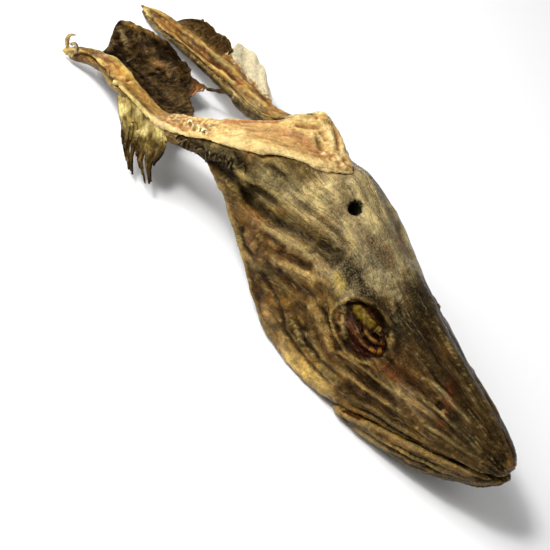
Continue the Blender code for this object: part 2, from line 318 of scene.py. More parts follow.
def body_grain(points):
    """Coordinates that follow the body: along it, and round it from the middle of the back."""
    x, y, z = from_nape(points)
    ahead, height = np.array(GRAIN_LINE).T
    round_it = np.arctan2(y, z - np.interp(x, ahead, height)) * GRAIN_RADIUS
    return np.c_[x, round_it, np.zeros(len(x))] * MM


def bent(points, size):
    """Smooth random shifts along and across the grain, with bends of that many millimetres."""
    return np.c_[rough(points, size * MM, 2, 3.0), rough(points, size * MM, 2, 5.0), np.zeros(len(points))]


skin = blank_from("head_skin", ("head", "collar_right", "collar_left"))
# Thin webs of skin: the rear edge of the right gill cover, which runs up to the shoulder, and the lining that
# hangs down inside the left arm, in two parts. Each is given by four corners on the right side, mirrored for
# the left one, and by its thickness, from there towards the middle if above 0 and outward if below.
GILL_COVER_EDGE = ((-57, -49.5, 43.5), (-50, -46, 38.5), (-30, -42, 29), (-29, -39, 49)), 3.4
ARM_LINING_REAR = ((-124, -26.5, 20), (-116, -25.5, 16), (-97, -24.5, 17.5), (-97, -26, 25)), -3.0
ARM_LINING_FRONT = ((-98, -26, 25), (-98, -24.5, 17.5), (-82, -24.5, 22), (-76, -25, 31)), -3.0
for side, (corners, thickness) in ((-1, GILL_COVER_EDGE), (1, ARM_LINING_REAR), (1, ARM_LINING_FRONT)):
    bpy.ops.object.select_all(action="DESELECT")
    bpy.ops.mesh.primitive_cube_add(size=1)
    web = bpy.context.object
    for vertex in web.data.vertices:
        ahead, inner, above = (value > 0 for value in vertex.co)
        x, y, z = corners[(3 if above else 2) if ahead else (0 if above else 1)]
        vertex.co = here(x, -side * (y + inner * thickness), z)
    in_edit_mode(web, bpy.ops.mesh.normals_make_consistent, inside=False)
    join(skin, web)
remesh(skin, WEB_VOXEL, 7)
remesh(skin, SKIN_VOXEL, 5)

# The folds of the skin, on both sides: what each is, how deep it goes in (a ridge's depth is below 0) and how
# wide it is in millimetres, its colour, how far that covers, and the places on the right it runs through.
FOLDS = (
    ("temple groove", 2.8, 3.0, "2c1a0c", 0.8,
     ((-36, -38, 42), (-24, -37, 43), (-13, -36, 44), (-3, -34, 48), (10, -32, 54), (24, -29, 59),
      (38, -26, 62))),
    ("temple shelf", 2.6, 6.0, "4e3418", 0.4, ((-8, -36, 47), (6, -34, 51), (20, -31, 57), (32, -28, 61))),
    ("temple pit", 3.0, 5.4, "1f1206", 0.9, ((18, -30, 57), (28, -29, 59), (38, -28, 61))),
    ("upper groove", 1.2, 2.8, "3a2914", 0.6,
     ((-7, -28, 61), (4, -27, 64), (14, -26, 66), (24, -24, 67), (33, -24, 66))),
    ("brow hollow", 2.2, 5.0, "33240f", 0.75,
     ((40, -27, 61), (52, -25, 60), (64, -22, 58), (76, -20, 57), (88, -20, 54))),
    ("boss edge", 1.6, 2.2, "3c2410", 0.8, ((-14, -43, 33), (-13, -44, 28), (-6, -44, 25), (3, -45, 27))),
    ("boss", -2.2, 4.6, "7c5f34", 0.5, ((-4, -44, 33), (1, -44, 34))),
    ("boss eye", 0.9, 1.9, "44300f", 0.7, ((-5, -44, 34), (-2, -44, 36), (1, -44, 34))),
    ("under the cheek ridge", 1.9, 4.2, "42290f", 0.75,
     ((6, -45, 31), (15, -44, 33), (25, -42, 36), (34, -41, 38), (42, -39, 43))),
    ("cheek hollow", 2.6, 4.2, "6a4820", 0.6, ((8, -43, 41), (16, -41, 43), (25, -39, 47), (31, -36, 51))),
    ("low cheek hollow", 2.2, 8.0, "503912", 0.6, ((36, -43, 30), (46, -42, 28), (56, -43, 24))),
    ("upper cheek ridge", -2.1, 3.4, "5e4c2c", 0.5,
     ((-6, -40, 42), (4, -38, 46), (14, -36, 50), (24, -34, 54))),
    ("lower cheek ridge", -2.6, 4.4, "664f2c", 0.5,
     ((9, -44, 36), (18, -42, 40), (28, -40, 42), (35, -38, 45), (37, -34, 51))),
    ("shade of the upper ridge", 0.9, 2.0, "3c2610", 0.75,
     ((-3, -42.5, 41), (5, -41.5, 44), (13, -40, 46))),
    # The next two are painted highlights on the crests of the cheek ridges.
    ("painted highlight of the lower ridge", -0.4, 2.0, "b8a684", 0.6,
     ((16, -43, 39), (24, -41, 43), (30, -39, 45), (35, -38, 48))),
    ("painted highlight of the upper ridge", -0.4, 1.6, "8c7a52", 0.6,
     ((-2, -39, 45), (8, -37, 49), (16, -35, 52), (23, -33, 56))),
    ("gill cover rim", -1.2, 1.8, "8d8056", 0.8,
     ((-32, -41, 33), (-17, -43, 28), (-5, -44, 21), (10, -46, 15), (28, -47, 8))),
    ("cheek crest", -1.8, 3.0, "a48d60", 0.7, ((43, -42, 37), (52, -41, 36), (61, -40, 33), (69, -39, 28))),
    ("cheek crease 1", 1.2, 1.5, "4a3413", 0.6,
     ((40, -44, 26), (54, -44, 21), (70, -41, 19), (86, -38, 22))),
    ("cheek crease 2", 1.0, 1.4, "553d18", 0.5,
     ((34, -47, 15), (50, -46, 15), (66, -43, 13), (82, -41, 14))),
    ("cheek crease 3", 1.1, 1.6, "402a10", 0.5,
     ((14, -45, 25), (26, -45, 24), (36, -44, 20), (46, -45, 15))),
    ("cheek crease 4", 0.9, 1.3, "402a10", 0.5, ((48, -40, 40), (56, -38, 40), (60, -38, 36))),
    ("socket rim below", -1.5, 1.0, "cdb590", 0.9,
     ((55, -31, 52), (53.5, -33, 47), (54.5, -36, 43), (58, -38, 39.5), (66, -38, 36), (76, -37, 34),
      (84, -35, 36), (90, -32, 40))),
    ("socket rim above", -1.2, 2.4, "4c3a1e", 0.6,
     ((57, -29, 55), (65, -24, 58), (75, -22, 58), (84, -22, 55), (90, -26, 49))),
    ("socket lining at the rear", 2.6, 2.8, "2e0e0a", 0.95, ((58, -30, 52), (57, -31, 48))),
    ("tan socket lining", 2.2, 2.4, "b88f62", 0.95, ((57, -33, 45), (58.5, -34, 43), (61, -35, 41))),
    ("orange socket lining", 1.6, 1.8, "7a3f16", 0.9, ((62, -36, 39), (66, -36, 38))),
    ("red socket lining", 1.6, 2.4, "2a0a08", 0.95,
     ((70, -36, 37), (77, -36, 37), (82, -35, 38), (87, -32, 42))),
    ("cheekbone ridge", -1.5, 1.3, "b59a6c", 0.9,
     ((69, -39, 29), (80, -36, 33), (92, -34, 36), (104, -31, 38), (116, -27, 41), (128, -23, 43))),
    ("below the cheekbone", 1.4, 2.8, "5c3c10", 0.7,
     ((72, -40, 25), (84, -37, 28), (98, -34, 32), (112, -31, 35))),
    ("second cheekbone line", -0.8, 1.1, "a58a5c", 0.7,
     ((84, -38, 25), (98, -35, 28), (112, -32, 32), (124, -29, 35))),
    ("muzzle trough", 1.7, 3.6, "3c230c", 0.7,
     ((90, -29, 46), (102, -26, 47), (114, -23, 48), (126, -19, 50))),
    ("nostril", 2.6, 1.8, "241408", 0.9, ((126, -19, 48), (131, -18, 48))),
    ("muzzle wrinkle 1", -0.8, 1.1, "a39782", 0.8,
     ((112, -18, 52), (122, -15, 53), (134, -14, 53), (146, -12, 53))),
    ("muzzle wrinkle 2", -0.8, 1.1, "a8997e", 0.8,
     ((124, -21, 47), (136, -19, 47), (148, -17, 47), (160, -14, 47))),
    ("muzzle wrinkle 3", -0.7, 1.0, "a89878", 0.7,
     ((130, -26, 38), (142, -22, 41), (154, -18, 43), (166, -13, 45))),
    ("muzzle crease", 1.1, 1.5, "2c1e10", 0.7,
     ((118, -24, 44), (132, -20, 45), (146, -17, 46), (160, -14, 46))),
    ("upper lip", -1.3, 1.6, "66502e", 0.8,
     ((98, -37, 19), (110, -34, 25), (124, -31, 28), (140, -26, 33), (156, -19, 38), (168, -12, 41))),
    ("lip slit", 2.0, 1.2, "1e120a", 0.95,
     ((98, -38, 14), (110, -35, 20), (124, -32, 25), (138, -27, 28), (152, -21, 32), (164, -15, 36),
      (172, -9, 40))),
    ("crease over the nape", 1.2, 2.0, "55462a", 0.5, ((-30, -33, 66), (-18, -30, 66), (-6, -27, 65))),
    ("shoulder fold", 1.8, 2.0, "3a2c14", 0.7,
     ((-58, -49, 42), (-44, -46, 46), (-34, -43, 46), (-22, -40, 44))),
    ("shoulder ridge", -1.2, 2.6, "9c8e62", 0.8,
     ((-40, -43, 51), (-30, -40, 53), (-18, -36, 54), (-6, -32, 56))),
    ("tatter 1", -1.3, 0.9, "6e5c34", 0.7, ((-66, -50, 43), (-61, -49, 44), (-57, -48, 48))),
    ("tatter 2", -1.2, 0.9, "6a5830", 0.7, ((-58, -48, 43), (-53, -46, 46), (-51, -45, 51))),
    ("tatter 3", -1.2, 0.9, "6a5830", 0.7, ((-50, -46, 48), (-46, -43, 52), (-45, -42, 56))),
    ("tatter 4", 1.2, 1.0, "120a05", 0.9, ((-62, -50, 41), (-56, -48, 43), (-54, -47, 48))),
    ("tatter 5", 1.2, 1.0, "120a05", 0.9, ((-53, -46, 44), (-48, -44, 48), (-47, -43, 54))),
    ("tatter 6", -1.0, 0.9, "6a5a34", 0.6, ((-46, -43, 50), (-40, -40, 54), (-38, -39, 60))),
    ("roof line", -1.2, 2.0, "a3956c", 0.7, ((3, -5, 83), (12, -6, 81), (22, -5, 79), (34, -3, 76))),
    ("streak below the hole", -0.8, 2.0, "a39567", 0.75, ((20, -19, 74), (28, -21, 71), (38, -21, 68))),
    ("roof trough", 1.3, 5.0, "706344", 0.4, ((18, -12, 77), (32, -12, 75), (46, -11, 71), (58, -9, 69))),
    ("snout keel", -1.0, 3.2, "54432a", 0.3, ((90, -1, 65), (112, -1, 61), (136, -1, 58), (160, -1, 54))),
    ("keel side", 0.9, 3.0, "33240f", 0.5, ((84, -9, 65), (104, -9, 60), (124, -8, 57), (144, -8, 55))),
)
# The patches of colour under the folds, in the order in which they are laid.
PATCHES = (
    ("cheek", 0, 17, "5f4a20", 0.95, ((4, -44, 30), (24, -43, 36), (44, -41, 36), (60, -38, 36))),
    ("shoulder", 0, 14, "6f6038", 0.9, ((-70, -51, 38), (-50, -47, 48), (-32, -42, 50), (-12, -36, 52))),
    ("olive nape", 0, 11, "90845f", 0.9, ((-36, -39, 54), (-20, -36, 57), (-4, -28, 65), (10, -21, 73))),
    ("nape", 0, 9, "584b30", 0.85, ((0, -14, 79), (12, -16, 76), (20, -18, 74))),
    ("skull", 0, 13, "81745a", 0.8, ((26, -14, 75), (42, -16, 70), (54, -14, 68))),
    ("bright skull", 0, 7.5, "8f8568", 0.85, ((50, -19, 66), (58, -15, 68), (62, -10, 69))),
    ("grey skull", 0, 6, "a89c80", 0.8, ((32, -10, 75), (44, -12, 72), (52, -8, 71))),
    ("dark of the temple", 0, 6, "1c1207", 0.85,
     ((20, -29, 57), (34, -28, 61), (44, -27, 61), (54, -26, 58))),
    ("dark over the eye", 0, 5, "281a0b", 0.85,
     ((52, -27, 57), (62, -24, 58), (74, -22, 57), (86, -22, 53))),
    ("lower cheek", 0, 9, "5f4517", 0.85, ((8, -45, 22), (24, -46, 18), (36, -45, 22))),
    ("front cheek", 0, 9, "63430f", 0.85, ((70, -41, 24), (84, -38, 26), (98, -34, 30))),
    ("lower margin", 0, 7, "a88a52", 0.9,
     ((22, -47, 10), (42, -47, 9), (58, -46, 9), (74, -43, 9), (90, -39, 10))),
    ("pale margin", 0, 5, "bfac80", 0.75, ((50, -47, 5), (64, -45, 8), (76, -42, 9), (88, -40, 8))),
    ("pale cheek", 0, 4.5, "866e40", 0.85, ((44, -44, 32), (54, -42, 33), (61, -39, 36))),
    ("amber by the eye", 0, 5.5, "663c0e", 0.9, ((88, -31, 43), (96, -29, 44), (104, -27, 43))),
    ("dark by the eye", 0, 4.5, "42220a", 0.85, ((90, -27, 48), (96, -25, 49))),
    ("orange of the gill cover", 0, 3.4, "6a4018", 0.6, ((-22, -41, 37), (-16, -39, 41), (-8, -41, 41))),
    ("brown under the boss", 0, 4.0, "47290f", 0.8, ((-10, -44, 27), (-4, -44, 22), (4, -45, 20))),
    ("muzzle", 0, 13, "5e4a30", 0.9, ((112, -26, 42), (130, -20, 46), (150, -14, 48))),
    ("dark roof", 0, 13, "33240d", 0.95, ((70, -14, 64), (84, -10, 63), (104, -6, 60), (120, -6, 58))),
    # Painted shade on the far half of the roof.
    ("painted shade of the far roof", 0, 9, "3f3018", 0.95, ((62, 4, 69), (76, 6, 67), (92, 5, 64), (110, 4, 61))),
    ("warm roof margin", 0, 4.5, "5e441f", 0.6, ((84, 6, 66), (98, 5, 63), (112, 4, 61))),
    ("snout back", 0, 8, "524128", 0.6, ((132, -3, 58), (146, -3, 56), (156, -4, 54))),
    ("snout side", 0, 7, "6e5a3c", 0.75, ((144, -21, 41), (154, -17, 43), (162, -13, 45))),
    ("snout tip", 0, 9, "281a0c", 0.95, ((166, -9, 48), (174, -4, 46))),
    ("orange of the tip", 0, 3.8, "b88c4c", 0.95,
     ((174, -2, 56), (177, -3, 51), (178, -4, 47), (177, -5, 42))),
    ("yellow patch", 0, 3.4, "99863f", 0.85, ((40, -31, 57), (46, -31, 55), (49, -33, 52))),
    ("red spot", 0, 2.6, "4c1f0b", 0.9, ((63, -40, 30), (66, -40, 28))),
    ("grey violet of the muzzle", 0, 4.6, "8a7868", 0.7,
     ((106, -30, 40), (114, -28, 42), (124, -25, 43), (132, -21, 46))),
    ("upper lip amber", 0, 2.6, "87692f", 0.8,
     ((90, -40, 11), (100, -37, 14), (112, -34, 18), (126, -31, 25))),
    ("rust on the roof", 0, 4.0, "72491f", 0.7, ((38, 6, 75), (50, 8, 72), (30, 14, 75))),
    ("rust on the muzzle", 0, 3.6, "6a3517", 0.7, ((118, -8, 58), (124, -10, 56), (138, -22, 42))),
    ("temple rust", 0, 2.4, "6e4a22", 0.5, ((-22, -39, 41), (-12, -38, 42), (-2, -37, 45), (8, -36, 49))),
    ("olive of the temple", 0, 3.4, "5e5122", 0.7,
     ((-12, -34, 48), (0, -32, 53), (10, -31, 57), (20, -28, 62))),
    ("tattered shoulder", 0, 7.5, "1a0f06", 0.95,
     ((-74, -51, 40), (-66, -50, 42), (-59, -49, 45), (-51, -47, 48), (-45, -44, 54), (-38, -42, 60))),
    ("dark of the shoulder", 0, 7, "2e1f0c", 0.85,
     ((-66, -50, 38), (-54, -48, 42), (-44, -44, 46), (-34, -42, 45))),
    ("smooth grey shoulder", 0, 4.2, "86754f", 0.9,
     ((-37, -38, 67), (-27, -33, 70), (-17, -27, 71), (-7, -20, 74))),
    ("arm skin", 0, 7, "7a6838", 0.7, ((-98, -52, 24), (-112, -52, 22), (-124, -51, 20), (-140, -50, 16))),
)
# Only on the left side: the inner face of the left arm, which shows past the nape.
LEFT_ARM = (
    ("dark inner face", 0, 5, "5a3e20", 0.85, ((-176, 26, 7), (-150, 26, 13), (-128, 27, 17))),
    ("grey pink strip", 0, 5.5, "decab4", 0.95,
     ((-112, 25, 19), (-100, 25, 21), (-90, 25, 23), (-80, 25, 28))),
    ("brown shoulder", 0, 5, "5a3a18", 0.8, ((-72, 27, 40), (-62, 28, 45), (-54, 27, 52))),
)
HOLE_PLACE = (17, -11, 76)  # the round hole in the skull roof that the string went through
HOLE_RADIUS = 4.2
TEMPLE = ((-30, -38, 58), (-16, -33, 63), (0, -25, 69), (12, -20, 73))
TATTERED_SHOULDER = ((-76, -51, 40), (-66, -50, 43), (-58, -49, 46), (-50, -47, 50), (-42, -43, 57))

skin_surface = surface_of(skin)
places = points_of(skin)
outward = normals_of(skin)
x_mm, y_mm, z_mm = from_nape(places)
grain = body_grain(places)
snout = ramp(x_mm, 84, 34)
roof = ramp(outward[:, 2], 0.42, 0.3) * ramp(x_mm, -20, 20)
temple = np.zeros(len(places))
for side in BOTH:
    near, weight = brush(places, laid_on(skin_surface, TEMPLE, side), 11)
    temple[near] = np.maximum(temple[near], np.clip(weight * 1.3, 0, 1))

# The relief: the folds, the lumps of the bones under the skin, and the wrinkles that run along the body.
depth = press(places, skin_surface, FOLDS, BOTH) + press(places, skin_surface, LEFT_ARM)
lumps = rough(places, 17 * MM, 3)
crinkle = rough(places, 4.0 * MM, 3, shift=9.0)
bend = bent(places, 15) * 3 * MM
drawn = (grain + bend) * (0.13, 1, 1)
folded = rough(drawn, 12 * MM, 2, 12.0)
wrinkle = 1 - 2.4 * np.abs(rough(drawn, 5.2 * MM, 3, 15.0))
patchy = np.clip(0.5 + 1.6 * rough(places, 20 * MM, 2, 18.0), 0, 1.3)
calm = (1 - 0.75 * roof * (1 - 0.5 * snout)) * (1 - 0.6 * temple)
depth += (1.0 * lumps + 1.2 * folded) * (1 - 0.5 * roof) + 0.22 * crinkle * (1 - 0.6 * roof)
depth -= wrinkle * (0.18 + 0.3 * snout) * calm * patchy
sink_in(skin, places, outward, depth)

# Its colours: a brown hide, olive and dusty on top, dark on the snout, with each patch and fold over that.
outward = normals_of(skin)
blotch = rough(places, 10 * MM, 4, 21.0)
ragged = rough(places, 3.0 * MM, 3, 24.0)
broad = rough(places, 26 * MM, 2, 27.0)
tint = np.tile(shade("6b4e22"), (len(places), 1))
tint = lay(tint, "33220b", 0.35 + 1.1 * blotch)
upper = roof * np.clip((72 - x_mm - 0.4 * np.maximum(y_mm, 0) + 8 * blotch) / 14, 0, 1)
tint = lay(tint, "9c9070", upper * (0.9 + 0.4 * blotch))
tint = lay(tint, "47351b", snout * 0.85)
tint = paint(places, skin_surface, PATCHES, tint, ragged, BOTH)
tint = paint(places, skin_surface, FOLDS, tint, ragged, BOTH)
tint = paint(places, skin_surface, LEFT_ARM, tint, ragged)
near, weight = brush(places, laid_on(skin_surface, TATTERED_SHOULDER), 8.5)
dark_shoulder = np.zeros(len(places))
dark_shoulder[near] = ramp(weight + 0.5 * blotch[near], 0.25, 0.3)
tint = lay(tint, "150c05", 0.9 * dark_shoulder)
swirl = grain * (0.35, 1, 1) + bend
stain = np.clip(rough(swirl, 9 * MM, 3, 33.0) * 2.6 - 0.3, 0, 1)
upper = np.maximum(upper, 0.8 * temple)
tint = lay(tint, "1e1105", stain * (0.5 + 0.15 * snout) * (1 - 0.7 * upper))
amber = np.clip(rough(swirl, 12 * MM, 3, 35.0) * 2.4 - 0.4, 0, 1)
tint = lay(tint, "6c4c14", amber * 0.4 * (1 - roof))
bloom = np.clip(rough(swirl, 8 * MM, 3, 37.0) * 2.6 - 0.4, 0, 1)
tint = lay(tint, "b5a679", bloom * (0.22 + 0.25 * upper) * (1 - 0.6 * snout) * (1 - 0.7 * (roof - upper)))
# Painted highlight along the crests of the long wrinkles, and painted shade in the troughs between them.
tint = lay(tint, "a3906a", np.clip(wrinkle * 1.5 - 0.9, 0, 1) * 0.2 * calm * patchy)
tint = lay(tint, "170d05", np.clip(-wrinkle * 0.5, 0, 1) * 0.35 * calm * patchy)
tint *= 1 + 0.9 * np.clip(broad, -0.5, 0.5)[:, None]

# The sockets' walls are dark red brown, and what faces the middle of the gill chamber is dark brown.
SOCKET_PLACE = (73, 29, 48)
SOCKET_RADII = (17.0, 9.5, 12.0)
GILL_CHAMBER = (8, 0, 30)
for side in BOTH:
    x, y, z = SOCKET_PLACE
    offset = (places - np.array(here(x, side * y, z))) / MM
    inside = np.sqrt(((offset / SOCKET_RADII) ** 2).sum(axis=1))
    facing = -(outward * offset).sum(axis=1) > 0
    tint = lay(tint, "2a0f07", ramp(-inside, -1.1, 0.12) * facing)
offset = (places - np.array(here(*GILL_CHAMBER))) / MM
inward = np.clip(-(outward * offset).sum(axis=1) / 6, 0, 1)
tint = lay(tint, "33251a", inward * (x_mm < 62) * (np.abs(y_mm) < 40) * 0.85)

# Painted shade darkens the creases, narrow and wide, painted highlights lighten the ridges, and small white
# painted glints fleck the dry skin. Neither the ridge highlights nor the glints show close to the ground.
off_the_ground = z_mm > 4
creases = hollowness(skin, 5)
wide_creases = hollowness(skin, 28)
tint = lay(tint, "160c04", np.clip(creases * 1.6, 0, 0.5))
tint = lay(tint, "180e05", np.clip(wide_creases * 0.6, 0, 0.7))
ridges = np.clip(-creases * 1.4 - 0.06, 0, 0.4) * off_the_ground
tint = lay(tint, "b59f68", ridges * (1 - 0.5 * snout) * (1 - 0.6 * dark_shoulder))
glints = np.clip(rough(places, 1.7 * MM, 2, 41.0) * 3 - 0.2, 0, 1)
glints = glints * np.clip(rough(swirl, 8 * MM, 2, 43.0) * 4, 0, 1)
glints = glints * np.clip(0.1 - creases * 4, 0, 0.34)
tint = lay(tint, "cdbf9c", glints * (1 - upper) * (1 - dark_shoulder) * off_the_ground)
to_hole = np.linalg.norm((places - np.array(here(*HOLE_PLACE)))[:, :2], axis=1) / MM
tint = lay(tint, "0a0604", (to_hole < HOLE_RADIUS) * (z_mm > 60))
bleached = upper[:, None]
tint = cured(tint) * (1 - bleached) + cured(tint, 1.03, 0.98, 0.87) * bleached
dust = 0.2 * roof * (1 - snout) + 0.8 * upper + 0.2 * bloom - 1.2 * np.maximum(creases, 0)
keep_looks(skin, tint, grain, np.clip(dust, 0, 1))


class Finish:
    """A material's nodes, with a short way to add one, to set its sockets and to link its inputs."""

    def __init__(self, name, specular):
        self.material = bpy.data.materials.new(name)
        self.material.use_nodes = True
        self.tree = self.material.node_tree
        self.shader = self.tree.nodes["Principled BSDF"]
        self.shader.inputs["Specular IOR Level"].default_value = specular
        self.shader.inputs["Specular Tint"].default_value = (1.0, 0.82, 0.52, 1)
        self.place = self.add("TexCoord").outputs["Object"]

    def add(self, kind, operation=None, **sockets):
        node = self.tree.nodes.new("ShaderNode" + kind)
        if operation:
            node.operation = operation
        for key, value in sockets.items():
            socket = node.inputs[int(key[1:]) if key[1:].isdigit() else key.replace("_", " ")]
            if isinstance(value, bpy.types.NodeSocket):
                self.tree.links.new(value, socket)
            else:
                socket.default_value = value
        return node

    def own(self, name, output="Color"):
        """A value that the mesh keeps for each vertex."""
        node = self.add("Attribute")
        node.attribute_name = name
        return node.outputs[output]

    def noise(self, vector, size, detail, roughness):
        """Noise with lumps of about this many millimetres."""
        made = self.add("TexNoise", Vector=vector, Scale=1 / (size * MM), Detail=detail, Roughness=roughness)
        return made.outputs["Fac"]

    def between(self, value, low, high, to_low, to_high):
        """A value that goes evenly from to_low to to_high as another goes from low to high."""
        made = self.add("MapRange", Value=value, From_Min=low, From_Max=high, To_Min=to_low, To_Max=to_high)
        return made.outputs["Result"]

    def times(self, a, b):
        return self.add("Math", "MULTIPLY", i0=a, i1=b).outputs[0]

    def blend(self, share, a, b):
        return self.add("MixRGB", Fac=share, Color1=a, Color2=b).outputs[0]

    def bump(self, height, strength, distance, below=None):
        """Relief of about this many millimetres, over the relief below it."""
        made = self.add("Bump", Height=height, Strength=strength, Distance=distance * MM)
        if below is not None:
            self.tree.links.new(below, made.inputs["Normal"])
        return made.outputs["Normal"]

    def link(self, output, socket):
        """Feeds one of the shader's own sockets."""
        self.tree.links.new(output, self.shader.inputs[socket])


DUST_COLOUR = "a89a72"
SCRATCH_COLOUR = "c4b084"


def hide_finish(name, roughness=0.27, fibre=1.4, contrast=0.5, relief=0.6, specular=0.5, streak=0.28):
    """Dried hide: its own tint, broken up by fibres and creases along the grain, and by fine dusty specks.
    fibre is the fibres' width in millimetres, and streak is how strongly pale scratches show."""
    made = Finish(name, specular)
    wander = made.add("TexNoise", Vector=made.place, Scale=60.0, Detail=2.0).outputs["Color"]
    reach = (4.5 * MM, 4.5 * MM, 4.5 * MM)
    run = made.own("grain", "Vector")
    bowed = made.add("VectorMath", "MULTIPLY_ADD", i0=wander, i1=reach, i2=run).outputs[0]
    drawn = made.add("Mapping", Vector=bowed, Scale=(0.13, 1, 1)).outputs[0]
    fibres = made.noise(drawn, fibre, 4.0, 0.6)
    middle = made.add("Math", "SUBTRACT", i0=made.noise(drawn, fibre * 3, 2.0, 0.5), i1=0.5).outputs[0]
    creases = made.between(made.add("Math", "ABSOLUTE", i0=middle).outputs[0], 0.0, 0.04, 1.0, 0.0)
    blotches = made.noise(made.place, 6.0, 5.0, 0.6)
    puckers = made.noise(made.place, 2.2, 6.0, 0.62)
    specks = made.noise(made.place, 0.9, 3.0, 0.7)
    dusty = made.own("dust", "Fac")
    strong = made.between(dusty, 0, 1, 1.0, 0.45)
    light = made.between(fibres, 0.34, 0.66, -0.38 * contrast, 0.38 * contrast)
    light = made.add("Math", "MULTIPLY_ADD", i0=light, i1=strong, i2=1.0).outputs[0]
    light = made.times(light, made.between(specks, 0.36, 0.64, 1 - 0.45 * contrast, 1 + 0.45 * contrast))
    light = made.times(light, made.between(blotches, 0.36, 0.64, 1 - 0.7 * contrast, 1 + 0.7 * contrast))
    light = made.times(light, made.between(creases, 0.0, 1.0, 1.0, 1 - 0.4 * contrast))
    light = made.times(light, made.between(puckers, 0.36, 0.64, 1 - 0.5 * contrast, 1 + 0.5 * contrast))
    base = made.add("VectorMath", "SCALE", i0=made.own("tint"), Scale=light).outputs[0]
    thin = made.add("Mapping", Vector=bowed, Scale=(0.07, 1, 1)).outputs[0]
    scratches = made.between(made.noise(thin, 1.7, 5.0, 0.7), 0.56, 0.7, 0.0, streak)
    scratches = made.times(scratches, made.between(blotches, 0.44, 0.56, 0.15, 1.0))
    base = made.blend(made.times(scratches, strong), base, (*shade(SCRATCH_COLOUR), 1))
    pale = made.times(made.between(specks, 0.48, 0.64, 0.0, 0.4), made.between(dusty, 0, 1, 0.02, 0.8))
    made.link(made.blend(pale, base, (*shade(DUST_COLOUR), 1)), "Base Color")
    made.link(made.between(puckers, 0.35, 0.65, roughness + 0.12, roughness - 0.08), "Roughness")
    made.link(made.between(made.own("tint", "Fac"), 0.0, 0.11, 0.05, specular), "Specular IOR Level")
    normal = made.bump(fibres, relief, 0.8)
    normal = made.bump(puckers, relief, 1.5, normal)
    normal = made.bump(made.times(creases, -1.0), relief, 0.5, normal)
    normal = made.bump(made.times(specks, made.between(dusty, 0, 1, 0.6, 1.0)), relief * 0.8, 0.45, normal)
    made.link(made.bump(blotches, relief * 0.6, 1.6, normal), "Normal")
    return made.material


skin.data.materials.append(hide_finish("dried_skin", relief=0.7))
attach(skin, "root")
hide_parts("head", "collar_right", "collar_left")

